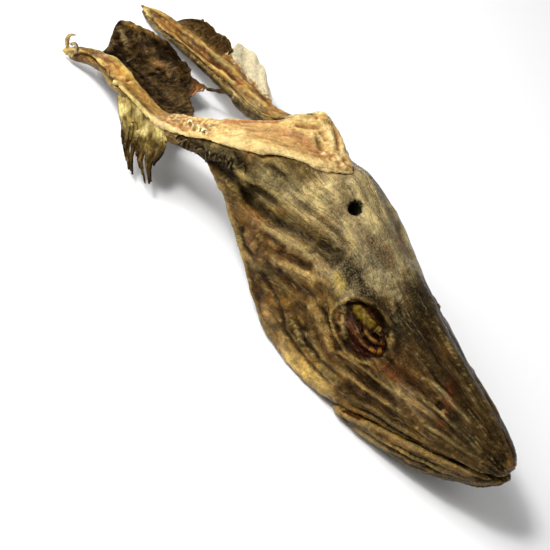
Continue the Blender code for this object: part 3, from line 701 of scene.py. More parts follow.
# ------------------------------------------------------------------------------------------------------------
# The cut flesh along the rim: the body wall was sliced through behind the head, and the bare flesh dried hard
# and cream coloured, with fibres along the cut, grains where it was chopped and a pit where the backbone sat.
# ------------------------------------------------------------------------------------------------------------
FLESH_FOLDS = (
    ("tan of the arm", 0.6, 6.0, "c69c62", 0.75,
     ((-122, -44, 27), (-111, -42, 29), (-101, -41, 31), (-90, -41, 37))),
    ("tan by the crumbs", 0, 6.0, "b98a50", 0.8, ((-94, -48, 33), (-84, -47, 39), (-74, -46, 45))),
    ("amber of the arm", 0, 6.0, "b5803c", 0.85, ((-149, -43, 22), (-141, -43, 25), (-135, -43, 26))),
    ("tip of the arm", 0.8, 4.0, "8d6a38", 0.8, ((-168, -48, 5), (-160, -46, 13), (-153, -45, 19))),
    ("cream tip", 0, 5.0, "e3c68c", 0.8, ((-190, 29, 4), (-180, 29, 8))),
    ("amber of the left arm", 0, 4.0, "a4762c", 0.85, ((-176, 29, 10), (-164, 30, 13), (-148, 31, 17))),
    ("brown root", 0.8, 4.0, "87551f", 0.8, ((-86, 34, 35), (-73, 31, 41), (-63, 27, 49), (-55, 21, 58))),
    ("dip along the middle", 1.3, 6, "cba06c", 0.6,
     ((-56, -33, 63), (-48, -27, 69), (-40, -22, 74), (-29, -15, 79), (-18, -11, 81))),
    ("cream edge", -0.7, 3.4, "eccd92", 0.8,
     ((-64, -45, 54), (-54, -43, 61), (-42, -38, 69), (-33, -32, 73), (-24, -26, 76), (-14, -17, 79),
      (-6, -8, 82))),
    ("rose streak", 0, 3.4, "b98258", 0.7,
     ((-46, -22, 73), (-36, -15, 78), (-26, -13, 80), (-16, -12, 81))),
    ("rear edge", 0, 2.4, "ad6428", 0.8, ((-66, -34, 56), (-59, -27, 64), (-51, -16, 72), (-48, -8, 75))),
    ("pit", 4.6, 2.1, "3e1a09", 0.95, ((-29, -5, 82), (-24, -7, 82), (-20, -8, 82))),
    ("second pit", 2.4, 1.4, "6b3514", 0.9, ((-32, -2, 83), (-28, -2, 83), (-24, -3, 83))),
    ("white bit", -1.6, 1.3, "f6ead0", 0.95, ((-32, -7, 81), (-29, -8, 81))),
    ("second white bit", -1.3, 1.2, "f6ead0", 0.95, ((-19, -10, 82), (-17, -9, 82))),
    ("fold by the pit", -1.2, 1.6, "ead09a", 0.8, ((-33, 4, 84), (-24, 0, 84), (-17, -4, 83))),
    ("groove by the fold", 1.2, 1.1, "a0652f", 0.7, ((-33, 8, 83), (-23, 3, 84), (-15, -2, 84))),
    ("second fold", -0.9, 1.6, "e2c68e", 0.8, ((-31, 11, 82), (-21, 5, 84), (-12, -1, 84))),
    ("nape flap", -2.4, 4.0, "c9a350", 0.85, ((-45, -8, 77), (-43, -3, 80), (-39, 2, 83), (-34, 3, 84))),
    ("edge under the flap", 1.4, 1.4, "9d6a30", 0.7, ((-42, -11, 78), (-37, -6, 81), (-33, -1, 83))),
    ("brown end", 0.8, 2.2, "8f4618", 0.95, ((-3, 3, 83), (-1, 1, 83))),
    ("cream line of the arm", -0.9, 1.6, "d8c294", 0.85,
     ((-124, -51, 25), (-113, -51, 28), (-101, -51, 30), (-92, -51, 33), (-82, -50, 38), (-72, -49, 45))),
    ("joint", 2.0, 1.3, "6a2810", 0.95,
     ((-134, -50, 23), (-130, -48, 25), (-126, -45, 26), (-126, -40, 27))),
    ("notch of the arm", 2.4, 2.6, "a05a20", 0.8, ((-142, -50, 22), (-137, -50, 23))),
    ("yellow ridge", -1.1, 2.2, "a87634", 0.8,
     ((-158, 35, 17), (-137, 36, 21), (-119, 36, 26), (-99, 33, 31), (-80, 31, 38))),
    ("green black gap", 2.6, 1.5, "27240f", 0.95,
     ((-160, 29, 14), (-148, 30, 17), (-136, 31, 20), (-124, 32, 22))),
    ("brown underside", 0.8, 3.4, "5e3a16", 0.85,
     ((-160, 26, 10), (-133, 26, 16), (-112, 27, 22), (-92, 26, 29), (-80, 25, 34))),
    ("pink of the arm", 0, 2.4, "c99a78", 0.7, ((-152, -44, 20), (-147, -43, 22))),
    ("cream side of the arm", -0.6, 2.0, "e6cd8c", 0.9,
     ((-150, -39, 23), (-142, -39, 26), (-134, -39, 27), (-127, -39, 28))),
    ("red spot", 0.8, 1.4, "64210c", 0.95, ((-137, -49, 23), (-134, -49, 23))),
    ("cream bits", -1.3, 1.3, "f3e6bf", 0.95, ((-130, -51, 24), (-127, -50, 25))),
    ("more cream bits", -1.3, 1.4, "f3e6bf", 0.95, ((-124, -45, 27), (-122, -43, 28))),
    ("lining of the left arm", 0, 3.4, "c4ae94", 0.95,
     ((-118, 25, 19), (-104, 25, 23), (-90, 25, 27), (-78, 24, 32))),
    ("dark brown groove", 2.2, 1.6, "331806", 0.95,
     ((-124, 28, 22), (-112, 28, 25), (-99, 27, 29), (-87, 26, 32), (-76, 25, 38), (-66, 22, 46))),
    ("brown middle of the arm", 0.9, 1.9, "4e2c0e", 0.85,
     ((-166, 30, 13), (-156, 32, 16), (-140, 34, 20), (-122, 33, 24), (-106, 31, 28))),
    ("second ridge", -0.8, 1.3, "bd8e48", 0.8,
     ((-150, 30, 17), (-130, 30, 21), (-110, 31, 26), (-92, 31, 31), (-76, 29, 39))),
    ("tan behind the crumbs", 0, 5.0, "b48c58", 0.75, ((-82, -43, 43), (-73, -42, 49), (-65, -41, 55))),
)
# Where the flesh was chopped to grains.
GRAINY_PARTS = (
    ((-92, -43, 35), (-80, -41, 43), (-70, -40, 50), (-62, -40, 57)),
    ((-16, -8, 82), (-8, -4, 83), (-3, -1, 84)),
    ((-46, 0, 80), (-38, 6, 83), (-30, 10, 82)),
)
# The middle of the cut face, from the tip of the right arm over the nape to the tip of the left arm.
RIM = (
    (-170, -48, 4), (-150, -43, 19), (-126, -44, 26), (-95, -44, 32), (-69, -41, 51), (-55, -34, 62),
    (-38, -20, 75), (-26, -8, 82), (-21, 3, 84), (-29, 10, 82), (-45, 20, 71), (-62, 28, 49), (-80, 30, 37),
    (-113, 33, 25), (-150, 32, 17), (-193, 30, 3),
)


def rim_grain(points):
    """Coordinates that follow the rim: along it, and across it to either side."""
    line = np.array([here(*place) for place in RIM])
    distance, share = along(points, line)
    steps = np.linalg.norm(np.diff(line, axis=0), axis=1)
    where = share * steps.sum()
    corners = np.r_[0, np.cumsum(steps)]
    nearest = np.c_[[np.interp(where, corners, line[:, i]) for i in range(3)]].T
    ahead = np.c_[[np.interp(where + 2 * MM, corners, line[:, i]) for i in range(3)]].T - nearest
    side = (np.cross(ahead, (0, 0, 1)) * (points - nearest)).sum(axis=1)
    return np.c_[where, distance * np.sign(side), points[:, 2] * 0.5]


flesh = blank_from("cut_flesh", ("flesh_right", "flesh_nape", "flesh_left"), 0.5)
remesh(flesh, 1.0 * MM, 4)
flesh_surface = surface_of(flesh)
places = points_of(flesh)
outward = normals_of(flesh)
grain = rim_grain(places)
drawn = grain * (0.14, 1, 1)
fibre = 1 - 2.2 * np.abs(rough(drawn, 4.2 * MM, 3, 30.0))
strips = rough(drawn, 6 * MM, 3, 43.0)
crumbs = rough(places, 2.6 * MM, 2, 35.0)
crumbly = np.zeros(len(places))
for part in GRAINY_PARTS:
    near, weight = brush(places, laid_on(flesh_surface, part), 7)
    crumbly[near] = np.maximum(crumbly[near], weight)
depth = press(places, flesh_surface, FLESH_FOLDS)
x_mm, y_mm, z_mm = from_nape(places)
depth += (
    1.2 * rough(places, 15 * MM, 3, 31.0)
    + 0.15 * crumbs
    + 1.5 * crumbs * crumbly * (1 - 0.5 * (x_mm > -50))
)
depth -= 0.35 * fibre * (1 - crumbly)
on_the_arms = np.clip((-88 - x_mm) / 14 + 2.0 * (places[:, 1] > NAPE.y), 0, 1)
knobs = rough(grain * (0.4, 1, 1), 6 * MM, 3, 46.0)
depth += 0.5 * knobs * on_the_arms
sink_in(flesh, places, outward, depth)
ragged = rough(places, 3.0 * MM, 3, 24.0)
x_mm, y_mm, z_mm = from_nape(places)
tint = np.tile(shade("e0be80"), (len(places), 1))
right_arm = ramp(-x_mm, 92, 10) * (y_mm < 0)
left_arm = ramp(-x_mm, 58, 12) * (y_mm > 0)
nape_part = 1 - right_arm - left_arm
tint = lay(tint, "cc9e5c", right_arm)
tint = lay(tint, "7c4e1e", left_arm)
tint = lay(tint, "c8a068", (0.35 + 0.9 * rough(drawn, 9 * MM, 3, 41.0)) * nape_part)
tint = lay(tint, "eed49c", np.clip(strips * 2 - 0.2, 0, 0.8) * nape_part)
tint = lay(tint, "c89c50", np.clip(strips * 2 - 0.1, 0, 0.7) * (1 - nape_part))
tint = lay(tint, "4a2a0e", np.clip(-strips * 2.4, 0, 0.8) * (1 - nape_part))
tint = paint(places, flesh_surface, FLESH_FOLDS, tint, ragged)
tint = lay(tint, "4a2a0e", np.clip(knobs * 2.4 - 0.1, 0, 0.75) * on_the_arms * (1 - 0.5 * right_arm))
tint = lay(tint, "cfa05c", np.clip(-knobs * 2.4 - 0.35, 0, 0.45) * on_the_arms)
tint = lay(tint, "8f4f16", np.clip(rough(places, 5 * MM, 3, 49.0) * 2.4 - 0.5, 0, 0.6) * on_the_arms)
tint = lay(tint, "b06f2c", crumbly * np.clip(crumbs * 1.6, 0, 0.8))
tint = lay(tint, "e6cf9c", crumbly * np.clip(-crumbs * 1.6, 0, 0.7))
# Painted shade in the creases of the flesh, and painted highlights on its ridges.
creases = hollowness(flesh, 4)
tint = lay(tint, "6b3310", np.clip(creases * 1.7, 0, 0.7))
tint = lay(tint, "f6e2b4", np.clip(-creases * 1.5, 0, 0.5))
tint[:, 2] *= 1 - 0.28 * (1 - nape_part)
keep_looks(flesh, cured(tint, 0.75, 0.76, 0.7), grain)
flesh.data.materials.append(hide_finish("cut_flesh", 0.36, fibre=1.1, contrast=0.26, streak=0.0))
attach(flesh, "root")
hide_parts("flesh_right", "flesh_nape", "flesh_left")

# ------------------------------------------------------------------------------------------------------------
# The lower jaw: two bony arms that meet at the chin, under the same skin, with thin amber lips and long
# wrinkles where the skin of the throat pulled away.
# ------------------------------------------------------------------------------------------------------------
JAW_FOLDS = (
    ("dark belly", 0, 7, "33261a", 0.8, ((130, -28, 10), (146, -22, 14), (162, -15, 22))),
    ("pale belly", 0, 6, "9a866c", 0.85, ((106, -34, 6), (116, -31, 7), (128, -28, 8))),
    ("corner lip", -1.4, 2.0, "745629", 0.9, ((94, -39, 5), (102, -38, 9), (110, -36, 13), (117, -34, 17))),
    ("red pits", 1.3, 1.3, "4c1a0c", 0.9, ((96, -39, 8), (102, -38, 11), (108, -37, 14))),
    ("lip", -1.0, 1.8, "8f6f3a", 0.85,
     ((118, -33, 18), (130, -30, 22), (144, -25, 27), (158, -19, 32), (168, -13, 36))),
    ("amber of the jaw", 0, 3.2, "8e641f", 0.85, ((122, -33, 14), (130, -30, 18), (136, -28, 21))),
    ("front amber", 0, 2.6, "7c5a22", 0.8, ((155, -20, 29), (162, -16, 31), (168, -12, 33))),
    ("long crease", 1.6, 1.4, "1d120a", 0.85,
     ((108, -35, 8), (122, -31, 11), (138, -26, 16), (154, -19, 23))),
    ("second crease", 1.2, 1.2, "241709", 0.7, ((126, -31, 16), (140, -27, 21), (154, -21, 26))),
    ("pale line", -0.9, 1.1, "a28f66", 0.75,
     ((112, -34, 12), (126, -30, 15), (142, -25, 20), (158, -18, 27))),
    ("grey edge", 0, 3.0, "6b5d48", 0.6, ((120, -30, 4), (134, -26, 6), (148, -22, 11))),
)
jaw = blank_from("jaw", ("lower_jaw",), 0.15)
remesh(jaw, 0.95 * MM, 5)
jaw_surface = surface_of(jaw)
places = points_of(jaw)
outward = normals_of(jaw)
grain = body_grain(places)
drawn = (grain + bent(places, 12) * 2.5 * MM) * (0.15, 1, 1)
wrinkle = 1 - 2.4 * np.abs(rough(drawn, 3.6 * MM, 3, 51.0))
depth = press(places, jaw_surface, JAW_FOLDS, BOTH)
depth += 0.7 * rough(places, 12 * MM, 3, 52.0) + 0.15 * rough(places, 3.4 * MM, 3, 55.0) - 0.36 * wrinkle
sink_in(jaw, places, outward, depth)
ragged = rough(places, 2.6 * MM, 3, 24.0)
tint = np.tile(shade("4c3c24"), (len(places), 1))
tint = lay(tint, "2f2112", 0.35 + 1.2 * rough(drawn, 7 * MM, 3, 61.0))
tint = lay(tint, "8f7646", np.clip(rough(drawn, 5 * MM, 3, 63.0) * 2.4 - 0.4, 0, 0.7))
tint = paint(places, jaw_surface, JAW_FOLDS, tint, ragged, BOTH)
# Painted highlight along the wrinkle crests, painted shade in the creases and wrinkle troughs, and painted
# highlight on the ridges.
tint = lay(tint, "a08a5c", np.clip(wrinkle * 1.5 - 0.85, 0, 0.45))
creases = hollowness(jaw, 5)
tint = lay(tint, "140b05", np.clip(creases * 2.2 - wrinkle * 0.2, 0, 0.65))
tint = lay(tint, "b59e6e", np.clip(-creases * 1.8, 0, 0.5))
chin = ramp(from_nape(places)[0], 134, 20)
keep_looks(jaw, cured(tint) * (1 - 0.3 * chin)[:, None], grain)
jaw.data.materials.append(hide_finish("jaw_skin", 0.3, relief=0.7))
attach(jaw, "root")
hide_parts("lower_jaw")

# ------------------------------------------------------------------------------------------------------------
# The eyes. Each shrank to a crumpled skin, gold on its folds and nearly black between them, and fell back
# into its socket. At the rear, a red brown crescent of the socket's lining shows beside it.
# ------------------------------------------------------------------------------------------------------------
EYE_CENTRE = (71.0, 28.4, 43.6)
EYE_RADII = (17.5, 5.2, 11.2)
EYE_TILT = 0.5  # radians that its face looks up
LEFT_EYE_DEEPER = 2.4  # millimetres further in than the right one
EYE_FOLDS = (
    ("socket lining", 0.8, 3.4, "2a0906", 0.95,
     ((55, -30, 50), (58, -30, 50), (60, -30, 47), (66, -30, 47), (71, -30, 47))),
    ("tan corner", -0.8, 2.6, "c79c62", 0.95, ((57, -33, 43), (61, -34, 41), (65, -34, 40))),
    ("orange corner", 0, 1.6, "6f3208", 0.9, ((66, -34, 40), (69, -34, 40))),
    ("mauve fold", -1.0, 1.8, "5c382e", 0.85, ((63, -31, 45), (70, -32, 44), (77, -32, 44), (83, -31, 44))),
    ("maroon fold", 1.4, 2.2, "3a0604", 0.95,
     ((66, -34, 40), (71, -34, 39), (76, -34, 39), (81, -33, 41), (86, -32, 42))),
    ("gold band", -2.2, 2.7, "8f8230", 0.95, ((59, -28, 51), (64, -28, 51), (70, -28, 51), (76, -27, 51))),
    ("light of the gold", -0.4, 1.3, "b4ab5e", 0.8, ((61, -28, 52), (65, -28, 52))),
    ("gold end", -1.4, 1.8, "b4a35a", 0.9, ((76, -27, 52), (79, -26, 53))),
    ("black pit", 2.4, 1.6, "0a0203", 1.0, ((77, -28, 50), (79, -28, 50), (84, -27, 52))),
    ("small gold folds", -1.5, 1.1, "b08746", 0.95,
     ((73, -30, 48), (76, -30, 48), (79, -30, 48), (83, -29, 49))),
    ("dark between", 1.5, 1.2, "160506", 0.95, ((66, -30, 48), (70, -30, 48), (74, -31, 46))),
    ("black slit", 2.0, 1.3, "0c0304", 1.0, ((74, -31, 45), (78, -31, 45), (83, -30, 46), (88, -28, 50))),
    ("amber foot", -1.4, 2.0, "a8741c", 0.95, ((86, -30, 46), (89, -29, 48))),
    ("tan foot", -1.0, 1.3, "8a5c38", 0.9, ((82, -31, 44), (85, -31, 45))),
)
for side, node, name in ((-1, "eye_right", "dried_eye_right"), (1, "eye_left", "dried_eye_left")):
    bpy.ops.object.select_all(action="DESELECT")
    x, y, z = EYE_CENTRE
    centre = here(x, side * y, z)
    bpy.ops.mesh.primitive_uv_sphere_add(segments=180, ring_count=110, radius=1, location=centre)
    eye = bpy.context.object
    eye.name = name
    eye.scale = Vector(EYE_RADII) * MM
    eye.rotation_euler.x = side * EYE_TILT
    put_in_place(eye)
    eye_surface = surface_of(eye)
    places = points_of(eye)
    places[:, 1] -= max(side, 0) * LEFT_EYE_DEEPER * MM
    outward = normals_of(eye)
    depth = press(places, eye_surface, EYE_FOLDS, (side,))
    depth += 0.6 * rough(places * (0.4, 1, 1), 3.0 * MM, 3, 71.0 + side)
    sink_in(eye, places, outward, depth)
    ragged = rough(places, 2.0 * MM, 3, 24.0)
    tint = np.tile(shade("3a1c10"), (len(places), 1))
    tint = paint(places, eye_surface, EYE_FOLDS, tint, ragged, (side,))
    # Painted shade in the creases of the eye; the gold on its crests is partly its own colour and partly
    # painted highlight.
    creases = hollowness(eye, 12)
    tint = lay(tint, "120503", np.clip(creases * 2.6, 0, 0.8))
    tint = lay(tint, "d2ac62", np.clip(-creases * 1.5 - 0.15, 0, 0.35))
    keep_looks(eye, cured(tint), places)
    eye.data.materials.append(hide_finish(name, 0.26, fibre=1.0, contrast=0.4, relief=0.4, specular=0.24))
    bpy.ops.object.shade_smooth()
    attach(eye, "root")
    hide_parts(node)

# ------------------------------------------------------------------------------------------------------------
# The right pectoral fin: olive yellow skin at its root and, from there down, brown horny rays with the web
# between them torn, so that it ends in a ragged brush.
# ------------------------------------------------------------------------------------------------------------
FIN_ROWS = (
    ((-121, -52.5, 22), (-113, -51.5, 26.5), (-103, -51.5, 29), (-94, -51, 31.5), (-84, -49.5, 35)),
    ((-113, -56, 18.5), (-104, -56, 21.5), (-96, -55.5, 23.5), (-88, -54.5, 26), (-78, -53, 30)),
    ((-104, -58.5, 15), (-98, -59, 17), (-91, -58.5, 18), (-83, -57, 20.5), (-74, -55, 24.5)),
    ((-96, -61, 9), (-91, -61.5, 10.5), (-85, -61, 13), (-79, -59.5, 15), (-72, -57.5, 19)),
    ((-85, -62.8, 3.5), (-82, -62.5, 5), (-76, -62.5, 7), (-68, -62, 10), (-66, -60, 15)),
)


def over_rows(rows, u, v):
    """Points of a smooth sheet through rows of places: u from 0 to 1 along the rows, v from row to row."""
    grid = np.array([[here(*place) for place in row] for row in rows])

    def weights(t, count):
        """The four rows nearest to each place, and how much each counts, as in a Catmull-Rom curve."""
        at = np.clip(t, 0, 1) * (count - 1)
        first = np.minimum(at.astype(int), count - 2)
        f = at - first
        index = np.clip(first[:, None] + np.arange(-1, 3), 0, count - 1)
        spread = np.c_[-f + 2 * f**2 - f**3, 2 - 5 * f**2 + 3 * f**3, f + 4 * f**2 - 3 * f**3, f**3 - f**2]
        return index, spread / 2

    rows_at, rows_by = weights(v, len(rows))
    along_at, along_by = weights(u, len(rows[0]))
    return np.einsum("ni,nj,nijk->nk", rows_by, along_by, grid[rows_at[:, :, None], along_at[:, None, :]])


def flat_uv(sheet):
    """The u and v of each vertex of a sheet that is still a flat square."""
    flat = points_of(sheet)
    return (flat[:, 0] + 1) / 2, (flat[:, 1] + 1) / 2


def delete_torn(sheet, gone):
    """Deletes the faces of a sheet whose corners are all gone."""
    bpy.ops.object.mode_set(mode="EDIT")
    bpy.ops.mesh.select_all(action="DESELECT")
    bpy.ops.object.mode_set(mode="OBJECT")
    for face in sheet.data.polygons:
        face.select = bool(gone[list(face.vertices)].all())
    bpy.ops.object.mode_set(mode="EDIT")
    bpy.ops.mesh.select_mode(type="FACE")
    bpy.ops.mesh.delete(type="FACE")
    bpy.ops.mesh.select_mode(type="VERT")
    bpy.ops.object.mode_set(mode="OBJECT")


SHEET_RUN = 0.06  # how far the grain counts in metres from the first row of a sheet to the last
SHEET_SPAN = 0.045  # and across, along a row


def make_sheet(name, rows, steps, shape, thickness, torn=None):
    """A thin closed sheet over rows of places. shape(u, v) gives the places' new u and v and their lift in
    millimetres, and torn(u, v) says where the sheet is torn away."""
    bpy.ops.object.select_all(action="DESELECT")
    bpy.ops.mesh.primitive_grid_add(x_subdivisions=steps[0], y_subdivisions=steps[1], size=2)
    sheet = bpy.context.object
    sheet.name = name
    if torn is not None:
        delete_torn(sheet, torn(*flat_uv(sheet)))
    u, v = flat_uv(sheet)
    new_u, new_v, lift = shape(u, v)
    move_points(sheet, over_rows(rows, new_u, new_v))
    places = points_of(sheet) + normals_of(sheet) * (lift * MM)[:, None]
    move_points(sheet, places)
    store(sheet, "grain", np.c_[v * SHEET_RUN, u * SHEET_SPAN, u * 0])
    store(sheet, "across", u)
    store(sheet, "down", v)
    wall = sheet.modifiers.new("Thickness", "SOLIDIFY")
    wall.thickness = thickness * MM
    wall.offset = 0
    finish_modifiers(sheet)
    in_edit_mode(sheet, bpy.ops.mesh.normals_make_consistent, inside=False)
    bpy.ops.object.shade_smooth()
    return sheet


def sheet_uv(piece):
    """The u and v that each vertex of a finished sheet was made from."""
    found = []
    for name in ("across", "down"):
        flat = np.empty(len(piece.data.vertices), np.float32)
        piece.data.attributes[name].data.foreach_get("value", flat)
        found.append(flat.astype(float))
    return found


def sheet_rough(u, v, run, size, shift):
    """Smooth random values over a sheet, with lumps of size in millimetres, as if it were 50 mm wide and run
    in metres long. The shorter that run is, the longer the streaks down the sheet are."""
    return rough(np.c_[u * 0.05, v * run, u * 0], size * MM, 3, shift)


# The rays of the right fin: how far down each ends and where the web beside it splits, from 0 to 1.
RAYS = 12
draw = random.Random(5)
RAY_ENDS = [draw.uniform(0.72, 1.0) for _ in range(RAYS)]
RAY_SPLITS = [draw.uniform(0.42, 0.8) for _ in range(RAYS + 1)]
for ray in (2, 8, 9):
    RAY_ENDS[ray] = 1.0


def fin_parts(u):
    """Which ray each place is on, and how far it is from the ray's middle, from 0 to 1."""
    at = np.clip(u, 0, 0.9999) * RAYS
    ray = at.astype(int)
    return ray, np.abs(at - ray - 0.5) * 2


def fin_shape(u, v):
    """Rays that stand up from the web, wander a little and end unevenly."""
    ray, off = fin_parts(u)
    ends = np.array(RAY_ENDS)[ray]
    wander = 0.022 * np.sin(7 * v + 2.3 * ray) * v
    lift = 0.7 * (1 - off**2) * np.clip(v * 3, 0, 1) + 1.6 * np.sin(3.0 * u + 2.4 * v) * v
    lift += 0.9 * np.sin(11 * u + 3) * np.sin(5 * v) + 0.8 * np.sin(2.1 * ray) * v**2
    return u + wander, v * (1 - v + v * ends), lift


def fin_torn(u, v):
    """Below its split, more and more of the web between two rays is gone."""
    ray, off = fin_parts(u)
    nearest = np.where(u * RAYS - ray > 0.5, ray + 1, ray)
    split = np.array(RAY_SPLITS)[nearest]
    return off > np.clip(1.02 - 0.95 * (v - split) / (1 - split), 0.1, 1.02)


fin = make_sheet("pectoral_right", FIN_ROWS, (RAYS * 10, 70), fin_shape, 1.3, fin_torn)
u, v = sheet_uv(fin)
_, off = fin_parts(u)
streak = sheet_rough(u, v, 0.012, 1.6, 81.0)
patch = sheet_rough(u, v, 0.04, 9, 82.0)
tint = np.tile(shade("968446"), (len(u), 1))
tint = lay(tint, "a39564", ramp(-v, -0.55, 0.3) * (0.6 + 1.2 * patch))
# Painted highlights: pale cream patches on the smooth skin near the root.
tint = lay(tint, "d2cca2", np.clip(patch * 3.0 - 0.35, 0, 0.7) * ramp(-v, -0.7, 0.3))
tint = lay(tint, "4e4020", np.clip(-patch * 3.0 - 0.3, 0, 0.8))
tint = lay(tint, "4a3618", ramp(v, 0.25, 0.35) * (0.6 + 0.5 * off + 0.6 * streak))
tint = lay(tint, "2a1b0b", ramp(v, 0.72, 0.3) * (0.6 + 0.6 * streak))
tint = lay(tint, "2e2010", np.clip(streak * 2.0 - 0.65, 0, 0.6) * np.clip(v * 2.2, 0, 1))
tint = lay(tint, "2a1d0c", ramp(u, 0.8, 0.15) * np.clip((v - 0.3) / 0.2, 0, 0.85))
# Painted shade in the fin's hollows.
tint = lay(tint, "1d1208", np.clip(hollowness(fin, 5) * 2, 0, 0.6))
keep_looks(fin, cured(tint, 0.85, 0.78, 0.54))
fin.data.materials.append(hide_finish("fin", 0.36, fibre=1.0, contrast=0.45))
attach(fin, "root")
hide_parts("fin_right")

# ------------------------------------------------------------------------------------------------------------
# The left pectoral fin, dried to a stiff brown flap, and the pale membrane beside it, thin as parchment, with
# an amber edge where it leaves the arm.
# ------------------------------------------------------------------------------------------------------------
FLAP_ROWS = (
    ((-169, 35, 13), (-158, 36.5, 15), (-147, 38, 18), (-136, 38.5, 20.5), (-128, 39.5, 22)),
    ((-167, 40, 16), (-158, 42.5, 19), (-147, 44.5, 21), (-138, 44.5, 22.5), (-130, 43, 23.5)),
    ((-162, 46, 20.5), (-156, 50.5, 22), (-149, 52.5, 22.5), (-143, 53, 23), (-133, 49.5, 23.5)),
)
MEMBRANE_ROWS = (
    ((-131, 39.5, 22), (-119, 38.5, 25), (-106, 37, 27.5), (-93, 35.5, 31), (-84, 34.5, 35)),
    ((-133, 46.5, 24), (-121, 47.5, 26), (-109, 46, 28), (-97, 43, 30.5), (-87, 39.5, 33)),
    ((-138, 58, 24), (-129, 62, 27), (-117, 58.5, 27.5), (-104, 53, 28.5), (-93, 46, 30.5)),
)


def flap_shape(u, v):
    """A wavy edge and low waves that grow towards it."""
    edge = 0.06 * np.sin(9 * u + 1) + 0.02 * np.sin(25 * u)
    return u, v * (1 + edge * v - 0.05), 1.2 * np.sin(7 * u + 1.5) * v + 0.3 * np.sin(40 * u) * v


def membrane_shape(u, v):
    """A wavy edge and low waves all over."""
    edge = 0.06 * np.sin(9 * u + 2) + 0.02 * np.sin(23 * u)
    return u, v * (1 + edge * v - 0.05), 1.0 * np.sin(6 * u + 5 * v) + 0.5 * np.sin(21 * u + 8 * v)


flap = make_sheet("pectoral_left", FLAP_ROWS, (90, 50), flap_shape, 1.5)
u, v = sheet_uv(flap)
streak = sheet_rough(u, v, 0.02, 2.2, 83.0)
tint = np.tile(shade("5e4826"), (len(u), 1))
tint = lay(tint, "2b1d0e", 0.3 + 1.1 * streak)
tint = lay(tint, "8f7440", ramp(-v, -0.35, 0.3) * (0.7 + 0.5 * streak))
tint = lay(tint, "9a8048", ramp(v, 0.88, 0.1) * (0.6 + 0.7 * streak))
keep_looks(flap, cured(tint))
flap.data.materials.append(hide_finish("fin_left", 0.36, contrast=0.45))
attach(flap, "root")
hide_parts("fin_left")

membrane = make_sheet("pale_membrane", MEMBRANE_ROWS, (90, 50), membrane_shape, 1.1)
u, v = sheet_uv(membrane)
streak = sheet_rough(u, v, 0.03, 3.0, 85.0)
tint = np.tile(shade("e6dec2"), (len(u), 1))
tint = lay(tint, "c9b98c", 0.2 + 1.1 * streak)
tint = lay(tint, "9a6a2c", ramp(0.42 - v + 0.25 * streak, 0, 0.16))
tint = lay(tint, "5f3d18", ramp(0.2 - v + 0.2 * streak, 0, 0.16) * 0.7)
tint = lay(tint, "fbf8ea", np.clip(streak * 2.5 - 0.6, 0, 0.8) * (v > 0.5))
keep_looks(membrane, tint * (0.66, 0.62, 0.54))
membrane.data.materials.append(hide_finish("membrane", 0.34, fibre=1.6, contrast=0.2, relief=0.5))
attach(membrane, "root")
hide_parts("membrane_left")

# ------------------------------------------------------------------------------------------------------------
# The skin of the throat between the two arms: a dark, stiff sheet with a yellow brown folded edge to the rear
# and tatters at the front, dished towards the ground.
# ------------------------------------------------------------------------------------------------------------
THROAT_FOLDS = (
    ("yellow rear edge", -0.8, 3.0, "a0813c", 0.85,
     ((-178, 3, 8), (-172, 9, 11), (-165, 14, 11), (-160, 20, 9))),
    ("light spots", -0.6, 2.4, "a99c7c", 0.8, ((-176, -3, 7), (-170, -3, 7), (-166, -6, 7))),
    ("dark hollow", 1.2, 6.0, "2a1a0b", 0.85, ((-160, 12, 10), (-150, 20, 9), (-142, 24, 9))),
    ("tan patch", -0.6, 3.0, "8f7048", 0.8, ((-151, 3, 7), (-146, 7, 7), (-142, 9, 8))),
    ("grey streak", 0, 6.0, "6b5a41", 0.7, ((-138, -8, 7), (-126, -4, 9), (-110, -2, 12))),
    ("long fold", 1.3, 1.8, "20150a", 0.8, ((-160, -14, 6), (-146, -12, 6), (-130, -8, 8), (-112, -6, 11))),
    ("second fold", 1.1, 1.6, "20150a", 0.7,
     ((-158, -26, 7), (-140, -24, 7), (-120, -20, 10), (-102, -16, 14))),
    ("front edge", -0.6, 2.0, "7e6a45", 0.7,
     ((-95, -30, 18), (-96, -18, 15), (-102, -4, 13), (-112, 5, 12))),
)
throat = blank_from("throat", ("throat_skin",), 0.1)
remesh(throat, 0.95 * MM, 2)
throat_surface = surface_of(throat)
places = points_of(throat)
outward = normals_of(throat)
x_mm, y_mm, z_mm = from_nape(places)
grain = np.c_[places[:, 1] * 4, places[:, 0], places[:, 2]]  # hardly drawn out, and across the arms
drawn = np.c_[places[:, 1] * 0.4, places[:, 0], places[:, 2]]
wrinkle = 1 - 2.4 * np.abs(rough(drawn, 6 * MM, 3, 91.0))
rise = 1.5 * rough(places * (1, 1, 0.2), 14 * MM, 3, 93.0) + 0.8 * wrinkle
places[:, 2] += rise * MM * ramp(z_mm, 1, 4)
depth = press(points_of(throat), throat_surface, THROAT_FOLDS)
sink_in(throat, places, outward, depth)
ragged = rough(places, 3.0 * MM, 3, 24.0)
tint = np.tile(shade("4a3a24"), (len(places), 1))
tint = lay(tint, "1f150b", 0.45 + 1.3 * rough(places, 9 * MM, 4, 95.0))
tint = lay(tint, "75624a", np.clip(rough(places, 7 * MM, 4, 97.0) * 2.2 - 0.6, 0, 0.6))
# Painted highlight along the wrinkle crests.
tint = lay(tint, "857048", np.clip(wrinkle * 1.4 - 0.9, 0, 0.35))
tint = paint(places, throat_surface, THROAT_FOLDS, tint, ragged)
# Painted shade in the hollows.
tint = lay(tint, "150d06", np.clip(hollowness(throat, 5) * 2.2, 0, 0.6))
keep_looks(throat, cured(tint, 0.86, 0.74, 0.5), grain)
throat.data.materials.append(hide_finish("dark_skin", 0.38, fibre=1.6, contrast=0.45, relief=0.7))
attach(throat, "root")
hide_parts("throat_skin")

